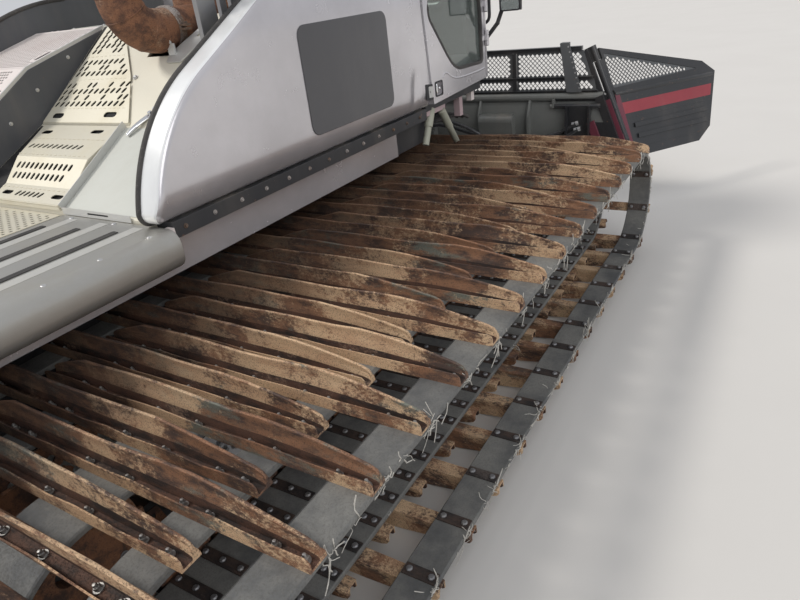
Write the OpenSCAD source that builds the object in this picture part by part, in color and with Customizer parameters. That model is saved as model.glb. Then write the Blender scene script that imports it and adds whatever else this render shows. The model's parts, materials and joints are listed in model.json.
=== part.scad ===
// Snowcat groomer: a tracked piste vehicle with a folding front blade and a rear tiller.
// +X is forward, +Y is left, +Z is up. Lengths along X are counted from a long bar near the
// rear of the right track, and the whole model is moved so that its origin is the middle of
// its length, on the ground.

/* [Tracks] */
// Half of the width over both tracks, out to the long bars' ends
track_half_w = 2130; // [2080:5:2200]
// Distance between neighbouring bars along the belts
bar_pitch = 116; // [112:1:120]
// Number of bars on one track, always even
bar_count = 72; // [70:2:74]
// Height of a bar above the belts
bar_h = 100; // [80:1:115]
// Width of a bar's foot along the track
bar_foot_w = 56; // [44:1:70]
// Thickness of a bar's foot
bar_foot_t = 12; // [8:1:18]
// Width of a bar's fin at its top
bar_top_w = 11; // [8:1:18]
// Distance from the centre of a wheel to the middle of the belts
belt_r = 280; // [270:1:290]
// Thickness of a belt
belt_t = 20; // [14:1:24]
// Place of the drive sprocket's axle
sprocket_x = -150; // [-200:5:-100]

/* [Wheels] */
// Width of a tyre
tyre_w = 190; // [160:2:210]
// Radius of a tyre on the four road wheels
road_r = 262; // [240:1:268]
// Radius of the steel rims
rim_r = 165; // [140:1:185]
// Radius of the axles
axle_r = 38; // [30:1:48]

/* [Chassis] */
// Half of the width of the hull between the tracks
hull_half_w = 480; // [440:5:500]
// Height of the hull's belly above the ground
belly_z = 250; // [220:5:320]
// Half of the width of the platform above the tracks
platform_half_w = 960; // [930:5:990]
// Underside of the platform
platform_z = 850; // [830:5:870]
// Top of the platform
platform_top_z = 1000; // [980:2:1010]

/* [Body] */
// Half of the width over the pods and the cab
body_half_w = 1050; // [1000:5:1100]
// Thickness of a pod, from its outer face inwards
pod_t = 110; // [100:5:120]
// Lower edge of the pods
pod_z = 1062; // [1050:1:1080]
// Centre of the arc of a pod's rear edge, from the long bar
pod_arc_x = 1313; // [1290:1:1330]
// Height of that centre
pod_arc_z = 927; // [910:1:940]
// Radius of the arc of a pod's rear edge
pod_arc_r = 688; // [670:2:700]
// Slope in degrees at which the rear edge runs into the shoulder
pod_slope = 28.5; // [26:0.5:31]
// Length of the straight shoulder
pod_shoulder = 360; // [320:5:400]
// Radius of the arc from the shoulder to the flat top
pod_crest_r = 1200; // [1000:20:1400]
// Rear end of the deck
deck_rear_x = -600; // [-640:5:-560]
// Thickness of the deck
deck_t = 50; // [36:2:60]

/* [Cab] */
// Rear face of the cab
cab_rear_x = 2600; // [2590:5:2620]
// How far the foot of the cab's rear face lies forward of its top
cab_heel = 42; // [30:2:50]
// Lower edge of the cab at its rear
cab_z = 1075; // [1070:1:1090]
// Foremost point of the cab's nose
cab_nose_x = 3680; // [3620:5:3720]
// Top of the roof
roof_z = 2760; // [2650:10:2850]
// Thickness of the cab's walls and doors
cab_wall = 45; // [35:1:55]
// Gap all round a door
door_gap = 8; // [6:1:12]
// Thickness of the glass
glass_t = 6; // [5:1:8]

/* [Blade] */
// Distance from the hull's front to the blade's wing hinges
blade_reach = 1074; // [1030:2:1120]
// Half of the width between the wings' hinges, at the top pipe
blade_half_w = 1650; // [1600:5:1700]
// Lower edge of the blade above the ground
blade_z = 350; // [330:5:370]
// Height of the top pipe's centre
pipe_z = 810; // [790:5:830]
// Radius of the top pipe
pipe_r = 34; // [28:1:40]
// Underside of the mesh screens' top rail
screen_z = 1140; // [1110:5:1170]
// Length of a wing
wing_l = 1042; // [980:2:1100]
// Angle of a wing forward from the blade's line, in degrees
wing_angle = 57; // [45:1:62]
// Lean of the wings' hinges towards the middle, in degrees
hinge_lean = 22; // [18:0.5:24]

/* [Tiller] */
// Half of the tiller's width
tiller_half_w = 2060; // [1900:10:2100]
// Distance from the hull's rear to the axis of the rotor
rotor_reach = 780; // [760:5:830]
// Height of the rotor's axis
rotor_z = 330; // [310:5:360]
// Radius of the rotor over the tines
rotor_r = 210; // [190:5:220]
// Radius of the rotor's tube
rotor_tube_r = 110; // [90:5:120]

/* [Hidden] */
$fn = 48;

// Clearance between round pieces that sit on each other
seat_gap = 0.3;
// Clearance between flat plates that lie on each other
plate_gap = 0.1;

// Track loop
loop_len = bar_count * bar_pitch;
wheelbase = loop_len / 2 - PI * belt_r;
idler_x = sprocket_x + wheelbase;
axle_z = bar_h + belt_t / 2 + belt_r;
wrap_len = PI * belt_r;
// Chords of the wrap lie a little inside the arc, and the tyres fit within them
chord_in = 1 - cos(bar_pitch / belt_r * 90 / PI);
idler_r = (belt_r + belt_t / 2) * (1 - chord_in) - 0.5;
road_z = bar_h + road_r + 0.3;
road_count = 4;
road_step = wheelbase / (road_count + 1);
track_front_x = idler_x + belt_r + belt_t / 2 + bar_h;
bar_top_z = axle_z + belt_r + belt_t / 2 + bar_h;

// Belts: inner and outer edge, from the machine's middle
BELTS = concat([[hull_half_w + 160, hull_half_w + 280]],
    [for (w = [[1130, 1000], [775, 570], [415, 285], [130, 5]])
        [track_half_w - w[0], track_half_w - w[1]]]);
// Bars: inner end, outer end; even ones reach out, odd ones reach in
BAR_SPAN = [[hull_half_w + 360, track_half_w], [hull_half_w + 50, track_half_w - 250]];
wheel_y = (BELTS[1][1] + BELTS[2][0]) / 2;

// Hull and platform
hull_rear_x = sprocket_x - 250;
hull_front_x = idler_x + 40;
hull_top_z = platform_z;
platform_front_x = idler_x + 150;
platform_side_x = cab_rear_x - 260;

// Body
pod_inner_y = body_half_w - pod_t;
hood_front_x = cab_rear_x - 40;
hood_half_w = pod_inner_y - 5;
stair_foot_x = 690;
stair_fold_x = 1130;
stair_fold_z = 1290;
stair_top_x = 1640;
stair_top_z = 1685;
hood_top_z = stair_top_z;
sheet = 12;

// Cab outlines. The doors' rear edge is the cab's rear edge, and the pods end along it.
belt_line_z = 1650;
cab_heel_z = 1560;
cab_side = [[cab_rear_x + cab_heel, cab_z], [3430, cab_z + 27], [cab_nose_x - 60, 1200],
    [cab_nose_x, 1500], [cab_nose_x - 40, 1620], [3330, 2680], [3250, roof_z],
    [cab_rear_x + 110, roof_z], [cab_rear_x + 15, 2700], [cab_rear_x, 2600],
    [cab_rear_x, cab_heel_z]];
cab_plan = [[cab_rear_x, -body_half_w], [3420, -body_half_w], [cab_nose_x - 60, -850],
    [cab_nose_x, -650], [cab_nose_x, 650], [cab_nose_x - 60, 850], [3420, body_half_w],
    [cab_rear_x, body_half_w]];
cab_front = [[-body_half_w, 1060], [body_half_w, 1060], [body_half_w, belt_line_z],
    [930, 2660], [860, roof_z], [-860, roof_z], [-930, 2660], [-body_half_w, belt_line_z]];
door_line = [[cab_rear_x - 60, cab_z - 60], [3390, cab_z - 60], [3390, 1560], [3080, 2560],
    [cab_rear_x + 140, 2600], [cab_rear_x - 60, 2400]];
door_window = [[2655, 1535], [2738, 1441], [2844, 1321], [2913, 1255], [2990, 1221],
    [3345, 1208], [3345, 1550], [3045, 2480], [2760, 2520], [2655, 2420]];
handle_x = [cab_rear_x + 68, cab_rear_x + 156];
handle_z = [1112, 1192];
door_hinge = [3394, body_half_w + 15];
door_hinge_z = [1300, 1500];
screen_line = [[-600, 1560], [600, 1560], [740, 1640], [720, 2560], [600, 2610],
    [-600, 2610], [-720, 2560], [-740, 1640]];
rear_line = [[-620, 1830], [620, 1830], [640, 2500], [-640, 2500]];

// Blade linkage: pins as places in X and Z
blade_x = hull_front_x + blade_reach;
swivel_x = blade_x - 230;
lift_pin = [hull_front_x + 60, 330];
carrier_pin = [swivel_x - 190, 330];
tilt_z = 430;
pin_r = 30;
pin_gap = 0.5;
wing_pin_r = 12;
wing_half_t = 12;
lift_barrel_pin = [hull_front_x + 40, 800];
lift_eye = [carrier_pin[0] - 120, 420];
lift_len = norm(lift_eye - lift_barrel_pin);
lift_barrel_l = lift_len - 273;
lift_rod_l = lift_len - 243;
cylinder_y = 200;

// Tiller linkage
rotor_x = hull_rear_x - rotor_reach;
tiller_pin = [hull_rear_x - 80, 480];
tiller_barrel_pin = [hull_rear_x - 50, 700];
tiller_beam_x = rotor_x + 330;
tiller_eye = [tiller_beam_x, 720];
tiller_barrel_l = 230;
tiller_rod_l = 220;
roll_z = 640;
hood_r = rotor_r + 42;
comb_pin = [rotor_x - hood_r - 26, rotor_z - 30];
comb_l = 360;
comb_drop = 22;
comb_pin_r = 11;
comb_half_t = 9;
comb_ears = [for (k = [-2 : 2]) k * (tiller_half_w - 60) / 2];

// Cylinders: eye, pin and rod sizes
eye_r = 36;
eye_pin_r = 18;
eye_play = 12;

// The middle of the length, from the comb's rear edge to the wings' tips
level_turn = atan(tan(hinge_lean) * cos(wing_angle));
wing_tip_q = 19;
front_reach = blade_x + (wing_l * cos(level_turn) + wing_tip_q * sin(level_turn)) * sin(wing_angle)
    + wing_half_t * cos(wing_angle);
comb_rear_x = comb_pin[0] - comb_l * cos(comb_drop) - comb_half_t * sin(comb_drop);
mid_x = (front_reach + comb_rear_x) / 2;

module place() { translate([-mid_x, 0, 0]) children(); }
module both_sides() { children(); mirror([0, 1, 0]) children(); }

// A flat outline in X and Z, carried from y0 to y1
module side_prism(y0, y1) {
    translate([0, y1, 0]) rotate([90, 0, 0]) linear_extrude(y1 - y0) children();
}
// A flat outline in Y and Z, carried from x0 to x1
module cross_prism(x0, x1) {
    translate([x0, 0, 0]) rotate([90, 0, 90]) linear_extrude(x1 - x0) children();
}
// A round bar along Y
module rod_y(x, z, y0, y1, r) {
    translate([x, y1, z]) rotate([90, 0, 0]) cylinder(h = y1 - y0, r = r);
}
module block(x, y, z) {
    translate([x[0], y[0], z[0]]) cube([x[1] - x[0], y[1] - y[0], z[1] - z[0]]);
}

// A flat link with round ends about p and q
module link(p, rp, q, rq) {
    way = atan2(q[1] - p[1], q[0] - p[0]);
    side = acos((rp - rq) / norm(q - p));
    polygon([for (e = [[p, rp, 1], [q, rq, 1], [q, rq, -1], [p, rp, -1]])
        e[0] + e[1] * [cos(way + e[2] * side), sin(way + e[2] * side)]]);
    translate(p) circle(r = rp);
    translate(q) circle(r = rq);
}
// An outline drawn anticlockwise, moved inwards by d
function side_normal(a, b) = let (v = b - a) [-v[1], v[0]] / norm(v);
function inset(p, d) = [for (i = [0:len(p) - 1])
    let (n1 = side_normal(p[(i + len(p) - 1) % len(p)], p[i]),
         n2 = side_normal(p[i], p[(i + 1) % len(p)]))
    p[i] + (n1 + n2) * d / (1 + n1 * n2)];
// Points of an arc about c, from angle a0 to a1 in n steps
function arc(c, r, a0, a1, n) = [for (i = [0:n])
    let (a = a0 + (a1 - a0) * i / n) c + r * [cos(a), sin(a)]];

// Place on the track loop at a length s along it, moved outwards by off.
// s is 0 at the long bar, and runs forward along the top.
function loop_at(s, off) =
    let (u = (s + loop_len) % loop_len, r = belt_r + off,
         front = u - idler_x, low = front - wrap_len,
         back = low - wheelbase, high = back - wrap_len)
    front < 0 ? [u, axle_z + r] :
    low < 0 ? [idler_x, axle_z] + r * [sin(front / belt_r * 180 / PI), cos(front / belt_r * 180 / PI)] :
    back < 0 ? [idler_x - low, axle_z - r] :
    high < 0 ? [sprocket_x, axle_z] - r * [sin(back / belt_r * 180 / PI), cos(back / belt_r * 180 / PI)] :
    [sprocket_x + high, axle_z + r];
function loop_turn(s) = let (a = loop_at(s - bar_pitch, 0), b = loop_at(s, 0),
    c = loop_at(s + bar_pitch, 0)) abs(cross(b - a, c - b)) > 1;
LOOP_BENDS = [for (i = [0:bar_count - 1]) let (s = (i + 0.5) * bar_pitch) if (loop_turn(s)) s];

module belt_loop(y0, y1) {
    side_prism(y0, y1) difference() {
        polygon([for (s = LOOP_BENDS) loop_at(s, belt_t / 2)]);
        polygon([for (s = LOOP_BENDS) loop_at(s, -belt_t / 2)]);
    }
}
module belts() {
    color("dimgray") for (b = BELTS) belt_loop(b[0], b[1]);
}

// A bar: a flat foot and a fin that narrows to its top, with slanted ends
module bar(y0, y1) {
    f = bar_foot_w / 2;
    t = bar_top_w / 2;
    ring = [[-1, 0], [1, 0], [1, 1], [-1, 1]];
    foot = [for (q = ring) [q[0] * f, q[1] ? y1 : y0, plate_gap]];
    ledge = [for (q = ring) [q[0] * f, q[1] ? y1 : y0, bar_foot_t]];
    top = [for (q = ring) [q[0] * t, q[1] ? y1 - 90 : y0 + 150, bar_h]];
    polyhedron(concat(foot, ledge, top), [[0, 1, 2, 3],
        [1, 0, 4, 5], [2, 1, 5, 6], [3, 2, 6, 7], [0, 3, 7, 4],
        [5, 4, 8, 9], [6, 5, 9, 10], [7, 6, 10, 11], [4, 7, 11, 8], [11, 10, 9, 8]]);
}
module bars() {
    color("sienna") for (i = [0:bar_count - 1]) {
        a = loop_at((i - 0.5) * bar_pitch, belt_t / 2);
        b = loop_at((i + 0.5) * bar_pitch, belt_t / 2);
        m = (a + b) / 2;
        translate([m[0], 0, m[1]]) rotate([0, atan2(a[1] - b[1], b[0] - a[0]), 0])
            bar(BAR_SPAN[i % 2][0], BAR_SPAN[i % 2][1]);
    }
}

// Tyre section: a rounded tread over a straight wall
module tyre(r) {
    rotate([90, 0, 0]) rotate_extrude($fn = 32) polygon([[rim_r, -tyre_w / 2 + 20],
        [r - 30, -tyre_w / 2], [r, -tyre_w / 2 + 30], [r, tyre_w / 2 - 30],
        [r - 30, tyre_w / 2], [rim_r, tyre_w / 2 - 20]]);
}
module at_wheels() {
    for (i = [1:road_count]) translate([sprocket_x + i * road_step, wheel_y, road_z])
        children(0);
    translate([idler_x, wheel_y, axle_z]) children(1);
}
module wheel_tyres() {
    color([0.1, 0.1, 0.1]) place() both_sides() at_wheels() { tyre(road_r); tyre(idler_r); }
}
module rim() {
    rotate([90, 0, 0]) difference() {
        cylinder(h = tyre_w - 40, r = rim_r - seat_gap, center = true);
        for (s = [-1, 1]) translate([0, 0, s * (tyre_w / 2 - 20)])
            cylinder(h = tyre_w - 70, r = rim_r - 14, center = true);
        cylinder(h = tyre_w, r = axle_r + seat_gap, center = true);
    }
}
module wheel_rims() {
    color("silver") place() both_sides() at_wheels() { rim(); rim(); }
}
module drive_sprockets() {
    teeth = 15;
    root_r = belt_r - belt_t - 22;
    color("darkgray") place() both_sides() translate([sprocket_x, wheel_y, axle_z])
        rotate([90, 0, 0]) difference() {
            union() {
                for (s = [-1, 1]) translate([0, 0, s * 70 - 8]) linear_extrude(16) union() {
                    circle(r = root_r);
                    for (i = [0:teeth - 1]) rotate(i * 360 / teeth)
                        translate([root_r - 10, -14]) square([26, 28]);
                }
                cylinder(h = 160, r = 120, center = true);
            }
            cylinder(h = 200, r = axle_r + seat_gap, center = true);
        }
}
module wheel_arms() {
    inner = hull_half_w;
    outer = wheel_y + tyre_w / 2 - 60;
    color([0.16, 0.16, 0.17]) place() both_sides() {
        for (i = [1:road_count]) {
            x = sprocket_x + i * road_step;
            rod_y(x, road_z, inner + 10, outer, axle_r);
            side_prism(inner, inner + 46)
                link([x, road_z], 62, [x - 210, road_z + 110], 74);
        }
        for (x = [sprocket_x, idler_x]) {
            rod_y(x, axle_z, inner, outer, axle_r);
            rod_y(x, axle_z, inner, inner + 90, 110);
        }
    }
}

module hull() {
    color([0.13, 0.13, 0.14]) place() side_prism(-hull_half_w, hull_half_w) polygon([
        [hull_rear_x, 420], [hull_rear_x + 130, belly_z], [hull_front_x - 230, belly_z],
        [hull_front_x, 460], [hull_front_x, hull_top_z], [hull_rear_x, hull_top_z]]);
}
module platform() {
    color("silver") place() side_prism(-platform_half_w, platform_half_w) polygon([
        [deck_rear_x + 90, platform_z + 70], [deck_rear_x + 190, platform_z],
        [platform_side_x, platform_z], [platform_side_x, platform_top_z],
        [deck_rear_x + 90, platform_top_z]]);
}
module engine_block() {
    color("gray") place() block([1450, 2300], [-380, 380], [platform_top_z, 1480]);
}

// Pod outline from the side: a round rear edge that runs into a straight shoulder and a crest,
// and a front edge along the door
module pod_outline() {
    rise = [cos(pod_slope), sin(pod_slope)];
    turn = pod_arc_r * [-rise[1], rise[0]] + [pod_arc_x, pod_arc_z] + pod_shoulder * rise;
    crest = turn + pod_crest_r * [rise[1], -rise[0]];
    foot = 40;
    low = [pod_arc_x - pod_arc_r * cos(15) + foot, pod_z + foot];
    front = cab_rear_x - door_gap;
    polygon(concat(
        arc(crest, pod_crest_r, 90, 90 + pod_slope, 10),
        arc([pod_arc_x, pod_arc_z], pod_arc_r, 90 + pod_slope, 165, 18),
        arc(low, foot, 180, 270, 5),
        [[front + cab_heel * (cab_heel_z - pod_z) / (cab_heel_z - cab_z), pod_z],
         [front, cab_heel_z], [front, crest[1] + pod_crest_r]]));
}
// Pod section: flat side, turned in below and leaning in above
module pod_section() {
    w = body_half_w;
    polygon(concat([[pod_inner_y, pod_z - 20], [w - 70, pod_z - 20]],
        arc([w - 160, pod_z + 110], 160, -46, 0, 5),
        [[w, 1640], [w - 10, 1730], [w - 34, 1820], [w - 60, 1900], [pod_inner_y, 1900]]));
}
module pod() {
    color("silver") intersection() {
        side_prism(pod_inner_y, body_half_w) pod_outline();
        cross_prism(pod_arc_x - pod_arc_r - 20, cab_rear_x + cab_heel) pod_section();
    }
}
module pod_panels() {
    color([0.1, 0.1, 0.11]) place() both_sides() side_prism(body_half_w, body_half_w + 4)
        polygon(concat(arc([1565, 1205], 45, 180, 270, 4), arc([2165, 1205], 45, 270, 360, 4),
            arc([2165, 1565], 45, 0, 90, 4), arc([1565, 1565], 45, 90, 180, 4)));
}
module body_sills() {
    color([0.2, 0.2, 0.2]) place() both_sides()
        block([pod_arc_x - pod_arc_r + 81, cab_rear_x - 2 * door_gap],
            [pod_inner_y, body_half_w - 25], [platform_top_z, pod_z]);
}

exhaust_y = -310;
stack_x = 1290;
pipe_in_x = 1500;
pipe_in_z = 1645;
silencer_x = [1700, 2240];
silencer_z = 1745;
walk_y = 310;
deck_lip_y = platform_half_w + 70;
module hood_profile() {
    polygon([[stair_foot_x, platform_top_z], [hood_front_x, platform_top_z],
        [hood_front_x, hood_top_z], [stair_top_x, hood_top_z],
        [stair_fold_x, stair_fold_z], [stair_foot_x, 1062]]);
}
module engine_hood() {
    color("lightgray") place() difference() {
        side_prism(-hood_half_w, hood_half_w) hood_profile();
        side_prism(-hood_half_w + sheet, hood_half_w - sheet) polygon([
            [stair_foot_x + 30, platform_top_z - 1], [hood_front_x - sheet, platform_top_z - 1],
            [hood_front_x - sheet, hood_top_z - sheet], [stair_top_x + 6, hood_top_z - sheet],
            [stair_fold_x + 6, stair_fold_z - 20], [stair_foot_x + 30, 1062]]);
        block([pipe_in_x - 48, stair_top_x + 1], [exhaust_y - 130, exhaust_y + 120],
            [stair_fold_z, hood_top_z + 1]);
        block([stair_top_x, silencer_x[1] + 20], [exhaust_y - 190, exhaust_y + 190],
            [stair_fold_z, hood_top_z + 1]);
    }
}
// Points on the hood's two slopes
function on_slope(x) = [x, stair_fold_z
    + (x - stair_fold_x) * (stair_top_z - stair_fold_z) / (stair_top_x - stair_fold_x)];
function on_foot(x) = 1062
    + (x - stair_foot_x) * (stair_fold_z - 1062) / (stair_fold_x - stair_foot_x);
// Folded treads on the hood's two slopes, and the raised walkway beside them
module rear_stairs() {
    t = 10;
    color("beige") place() translate([0, 0, plate_gap]) {
        intersection() {
            side_prism(-400, 300) polygon([[stair_foot_x, 1062],
                [stair_fold_x, stair_fold_z], [stair_fold_x - 6, stair_fold_z + t],
                [stair_foot_x, 1062 + t]]);
            linear_extrude(2000) polygon([[stair_foot_x - 1, -400], [stair_fold_x + 1, -335],
                [stair_fold_x + 1, 300], [stair_foot_x - 1, 300]]);
        }
        intersection() {
            side_prism(-400, 300) polygon([on_slope(stair_fold_x + 8), on_slope(stair_top_x - 8),
                on_slope(stair_top_x - 8) + [-6, t], on_slope(stair_fold_x + 8) + [-6, t]]);
            linear_extrude(2000) polygon([[stair_fold_x, -365], [stair_fold_x + 220, -180],
                [stair_top_x, 130], [stair_top_x, 300], [stair_fold_x, 300]]);
        }
        side_prism(walk_y, hood_half_w) polygon([[stair_foot_x + 60, on_foot(stair_foot_x + 60)],
            [stair_fold_x, stair_fold_z], on_slope(stair_top_x - 4), [1161, 1548], [973, 1435],
            [stair_foot_x + 60, 1302]]);
    }
}
module rear_deck() {
    color("lightgray") place() {
        block([deck_rear_x, stair_foot_x - 2], [-410, 410],
            [platform_top_z, platform_top_z + deck_t - 6]);
        both_sides() cross_prism(deck_rear_x, stair_foot_x - 7) polygon(concat(
            [[412, platform_top_z], [deck_lip_y - 50, platform_top_z],
             [deck_lip_y - 50, platform_top_z - 70]],
            arc([deck_lip_y, platform_top_z - 40], 50, -90, 0, 4),
            arc([deck_lip_y, platform_top_z], deck_t, 0, 90, 4),
            [[412, platform_top_z + deck_t]]));
    }
}
// The stack comes down over the hood's slope, bends forward and through a clamp, and runs into
// the silencer, which hangs in the hood's opening on two straps. A flat bracket with a hole
// lies on the slope beside the opening and holds the pipe by a lug
module exhaust() {
    r = 92;
    bend = 150;
    box_r = 172;
    x0 = pipe_in_x - 90;
    x1 = pipe_in_x + 84;
    color("saddlebrown") place() {
        translate([stack_x, exhaust_y, pipe_in_z + bend]) difference() {
            union() {
                cylinder(h = 560, r = r);
                translate([0, 0, 470]) cylinder(h = 30, r = r + 8);
            }
            translate([0, 0, 60]) cylinder(h = 501, r = r - 5);
        }
        translate([stack_x + bend, exhaust_y, pipe_in_z + bend]) rotate([-90, 0, 0])
            rotate([0, 0, 90]) rotate_extrude(angle = 90) translate([bend, 0]) circle(r = r);
        translate([stack_x + bend, exhaust_y, pipe_in_z]) rotate([0, 90, 0])
            cylinder(h = silencer_x[0] - stack_x - bend + 20, r = r);
        translate([pipe_in_x, exhaust_y, pipe_in_z]) rotate([0, 90, 0]) cylinder(h = 34, r = r + 9);
        translate([0, 0, plate_gap]) intersection() {
            side_prism(exhaust_y - 230, exhaust_y - 40) polygon([on_slope(x0), on_slope(x1),
                on_slope(x1) + [-5, 8], on_slope(x0) + [-5, 8]]);
            linear_extrude(2000) difference() {
                polygon([[pipe_in_x - 48, exhaust_y - 45], [x0, exhaust_y - 55],
                    [x0, exhaust_y - 148], [pipe_in_x + 10, exhaust_y - 218],
                    [x1 - 10, exhaust_y - 198], [x1 - 8, exhaust_y - 150]]);
                translate([pipe_in_x + 38, exhaust_y - 172]) circle(r = 14);
            }
        }
        side_prism(exhaust_y - 90, exhaust_y - 50) polygon([
            on_slope(pipe_in_x - 62) + [0, plate_gap + 4], on_slope(pipe_in_x - 50) + [0, plate_gap + 4],
            [pipe_in_x - 50, pipe_in_z - r + 36], [pipe_in_x - 62, pipe_in_z - r + 36]]);
        translate([silencer_x[0], exhaust_y, silencer_z]) rotate([0, 90, 0])
            cylinder(h = silencer_x[1] - silencer_x[0], r = box_r);
        for (x = [silencer_x[0] + 90, silencer_x[1] - 130])
            block([x, x + 40], [exhaust_y - 225, exhaust_y + 225],
                [hood_top_z + plate_gap, hood_top_z + 24]);
    }
}
// A louvred guard that stands on the hood's slope beside the pod
module heat_shield() {
    x0 = 1200;
    x1 = 1620;
    z1 = 1980;
    color("gray") place() translate([0, 0, plate_gap]) side_prism(67 - hood_half_w, 85 - hood_half_w) difference() {
        polygon([on_slope(x0), on_slope(x1), [x1, z1], [x0, z1]]);
        for (x = [x0 + 90 : 60 : x1 - 50]) translate([x, on_slope(x + 26)[1] + 50])
            square([26, z1 - 40 - on_slope(x + 26)[1] - 50]);
    }
}

module cab_solid(d) {
    intersection() {
        side_prism(-body_half_w - 1, body_half_w + 1) polygon(inset(cab_side, d));
        translate([0, 0, 1000]) linear_extrude(2000) polygon(inset(cab_plan, d));
        cross_prism(cab_rear_x - 1, cab_nose_x + 1) polygon(inset(cab_front, d));
    }
}
module cab_skin() {
    difference() { cab_solid(0); cab_solid(cab_wall); }
}
// The space inside the side walls, as far down as the sill, set in by d more
module within_sides(d) {
    q = inset(cab_front, cab_wall + d);
    cross_prism(cab_rear_x - 600, cab_nose_x + 320)
        polygon([[0, 900], [q[2][0], 900], q[2], q[3], [0, q[3][1]]]);
}
module cab_shell() {
    color("silver") place() {
        difference() {
            cab_skin();
            both_sides() difference() {
                side_prism(700, 1200) polygon(inset(door_line, -door_gap));
                within_sides(door_gap);
            }
            cross_prism(cab_nose_x - 580, cab_nose_x + 120) polygon(screen_line);
            cross_prism(cab_rear_x - 100, cab_rear_x + 100) polygon(rear_line);
        }
        both_sides() for (z = door_hinge_z) {
            for (h = [0, 62]) translate([door_hinge[0], door_hinge[1], z + h])
                cylinder(h = 28, r = 13);
            for (h = [0, 62]) block([door_hinge[0], 3425], [body_half_w, body_half_w + 7],
                [z + h, z + h + 28]);
            translate([door_hinge[0], door_hinge[1], z]) cylinder(h = 90, r = 6);
        }
    }
}
module door() {
    difference() {
        union() {
            intersection() {
                cab_skin();
                side_prism(800, 1200) polygon(door_line);
            }
            for (z = door_hinge_z) {
                translate([door_hinge[0], door_hinge[1], z + 30]) cylinder(h = 30, r = 13);
                block([door_hinge[0] - 60, door_hinge[0]], [body_half_w, body_half_w + 7],
                    [z + 30, z + 60]);
            }
        }
        within_sides(0);
        side_prism(700, 1200) polygon(door_window);
        block(handle_x, [body_half_w - 26, body_half_w + 1], handle_z);
        for (z = door_hinge_z) translate([door_hinge[0], door_hinge[1], z])
            cylinder(h = 90, r = 6.3);
    }
    block([handle_x[0] + 16, handle_x[0] + 40], [body_half_w - 27, body_half_w - 6],
        [handle_z[0] + 12, handle_z[1] - 12]);
}
// A pane that fills an opening within the skin
module pane(depth) {
    intersection() {
        difference() { cab_solid(depth); cab_solid(depth + glass_t); }
        children();
    }
}
module door_left() { color("silver") place() door(); }
module door_right() { color("silver") place() mirror([0, 1, 0]) door(); }
module door_pane() { pane(18) side_prism(800, 1200) polygon(door_window); }
module door_glass_left() { color([0.5, 0.6, 0.6, 0.4]) place() door_pane(); }
module door_glass_right() { color([0.5, 0.6, 0.6, 0.4]) place() mirror([0, 1, 0]) door_pane(); }
module windscreen() {
    color([0.5, 0.6, 0.6, 0.4]) place() pane(12)
        cross_prism(cab_nose_x - 580, cab_nose_x + 120) polygon(screen_line);
}
module rear_window() {
    color([0.5, 0.6, 0.6, 0.4]) place() pane(12)
        cross_prism(cab_rear_x - 100, cab_rear_x + 100) polygon(rear_line);
}
// The frame under the cab: full width behind, narrower between the cab's mounts, with a sill
// along the doors
module cab_frame() {
    wide = cab_rear_x + 100;
    sill_y = body_half_w - cab_wall - 15;
    under = [cab_rear_x + cab_heel, cab_z];
    color([0.1, 0.1, 0.1]) place() difference() {
        union() {
            side_prism(-platform_half_w + 20, platform_half_w - 20) polygon([
                [platform_side_x, platform_z], [wide, platform_z], [wide, cab_z - 40],
                [under[0], cab_z - 40], [cab_rear_x, platform_top_z], [platform_side_x, platform_top_z]]);
            side_prism(-760, 760) polygon([[wide - 1, platform_z], [platform_front_x, platform_z],
                [3420, cab_z - 40], [wide - 1, cab_z - 40]]);
            side_prism(-sill_y, sill_y) polygon([[under[0], cab_z - 45], [3420, cab_z - 45],
                [3420, cab_z + 26], under]);
        }
        both_sides() for (x = [wide + 80, 3060]) side_prism(700, 800) translate([x, platform_z + 50])
            square([200, 80]);
    }
}
module seats() {
    color([0.15, 0.15, 0.17]) place() intersection() {
        for (y = [-380, 380]) translate([cab_rear_x + 180, y, 0]) {
            block([60, 440], [-150, 150], [1000, 1290]);
            block([0, 500], [-240, 240], [1290, 1420]);
            block([0, 130], [-230, 230], [1420, 2000]);
        }
        cab_solid(cab_wall);
    }
}
module console() {
    color([0.2, 0.2, 0.2]) place() intersection() {
        side_prism(-500, 500) polygon([[3400, 1100], [3700, 1100], [3610, 1500], [3480, 1540],
            [3400, 1480]]);
        cab_solid(cab_wall);
    }
}
module roof_lamps() {
    color("black") place() both_sides() for (y = [350, 560, 770])
        block([3200, 3290], [y - 80, y + 80], [roof_z + 0, roof_z + 100]);
}
module beacon() {
    color("orange") place() translate([2800, 0, roof_z]) cylinder(h = 130, r = 60);
}
// A round bar from a to b with ball ends, so that bars join at their corners
module bar_between(a, b, r) {
    d = b - a;
    translate(a) {
        rotate([0, acos(d[2] / norm(d)), atan2(d[1], d[0])]) cylinder(h = norm(d), r = r, $fn = 24);
        sphere(r = r + 1.5, $fn = 24);
    }
    translate(b) sphere(r = r + 1.5, $fn = 24);
}
module mirrors() {
    w = body_half_w;
    loop = [[3455, w - 20, 1330], [3470, w + 60, 1420], [3470, w + 95, 1500], [3470, w + 95, 2020],
        [3440, w + 60, 2090], [3350, w - 90, 2090]];
    color("black") place() difference() {
        both_sides() {
            for (i = [0 : len(loop) - 2]) bar_between(loop[i], loop[i + 1], 13);
            side_prism(w + 70, w + 290) polygon(concat(arc([3452, 1650], 14, 180, 360, 6),
                arc([3452, 2000], 14, 0, 180, 6)));
            side_prism(w + 90, w + 230) polygon(concat(arc([3452, 1500], 12, 180, 360, 6),
                arc([3452, 1590], 12, 0, 180, 6)));
        }
        cab_solid(0);
    }
}

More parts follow.
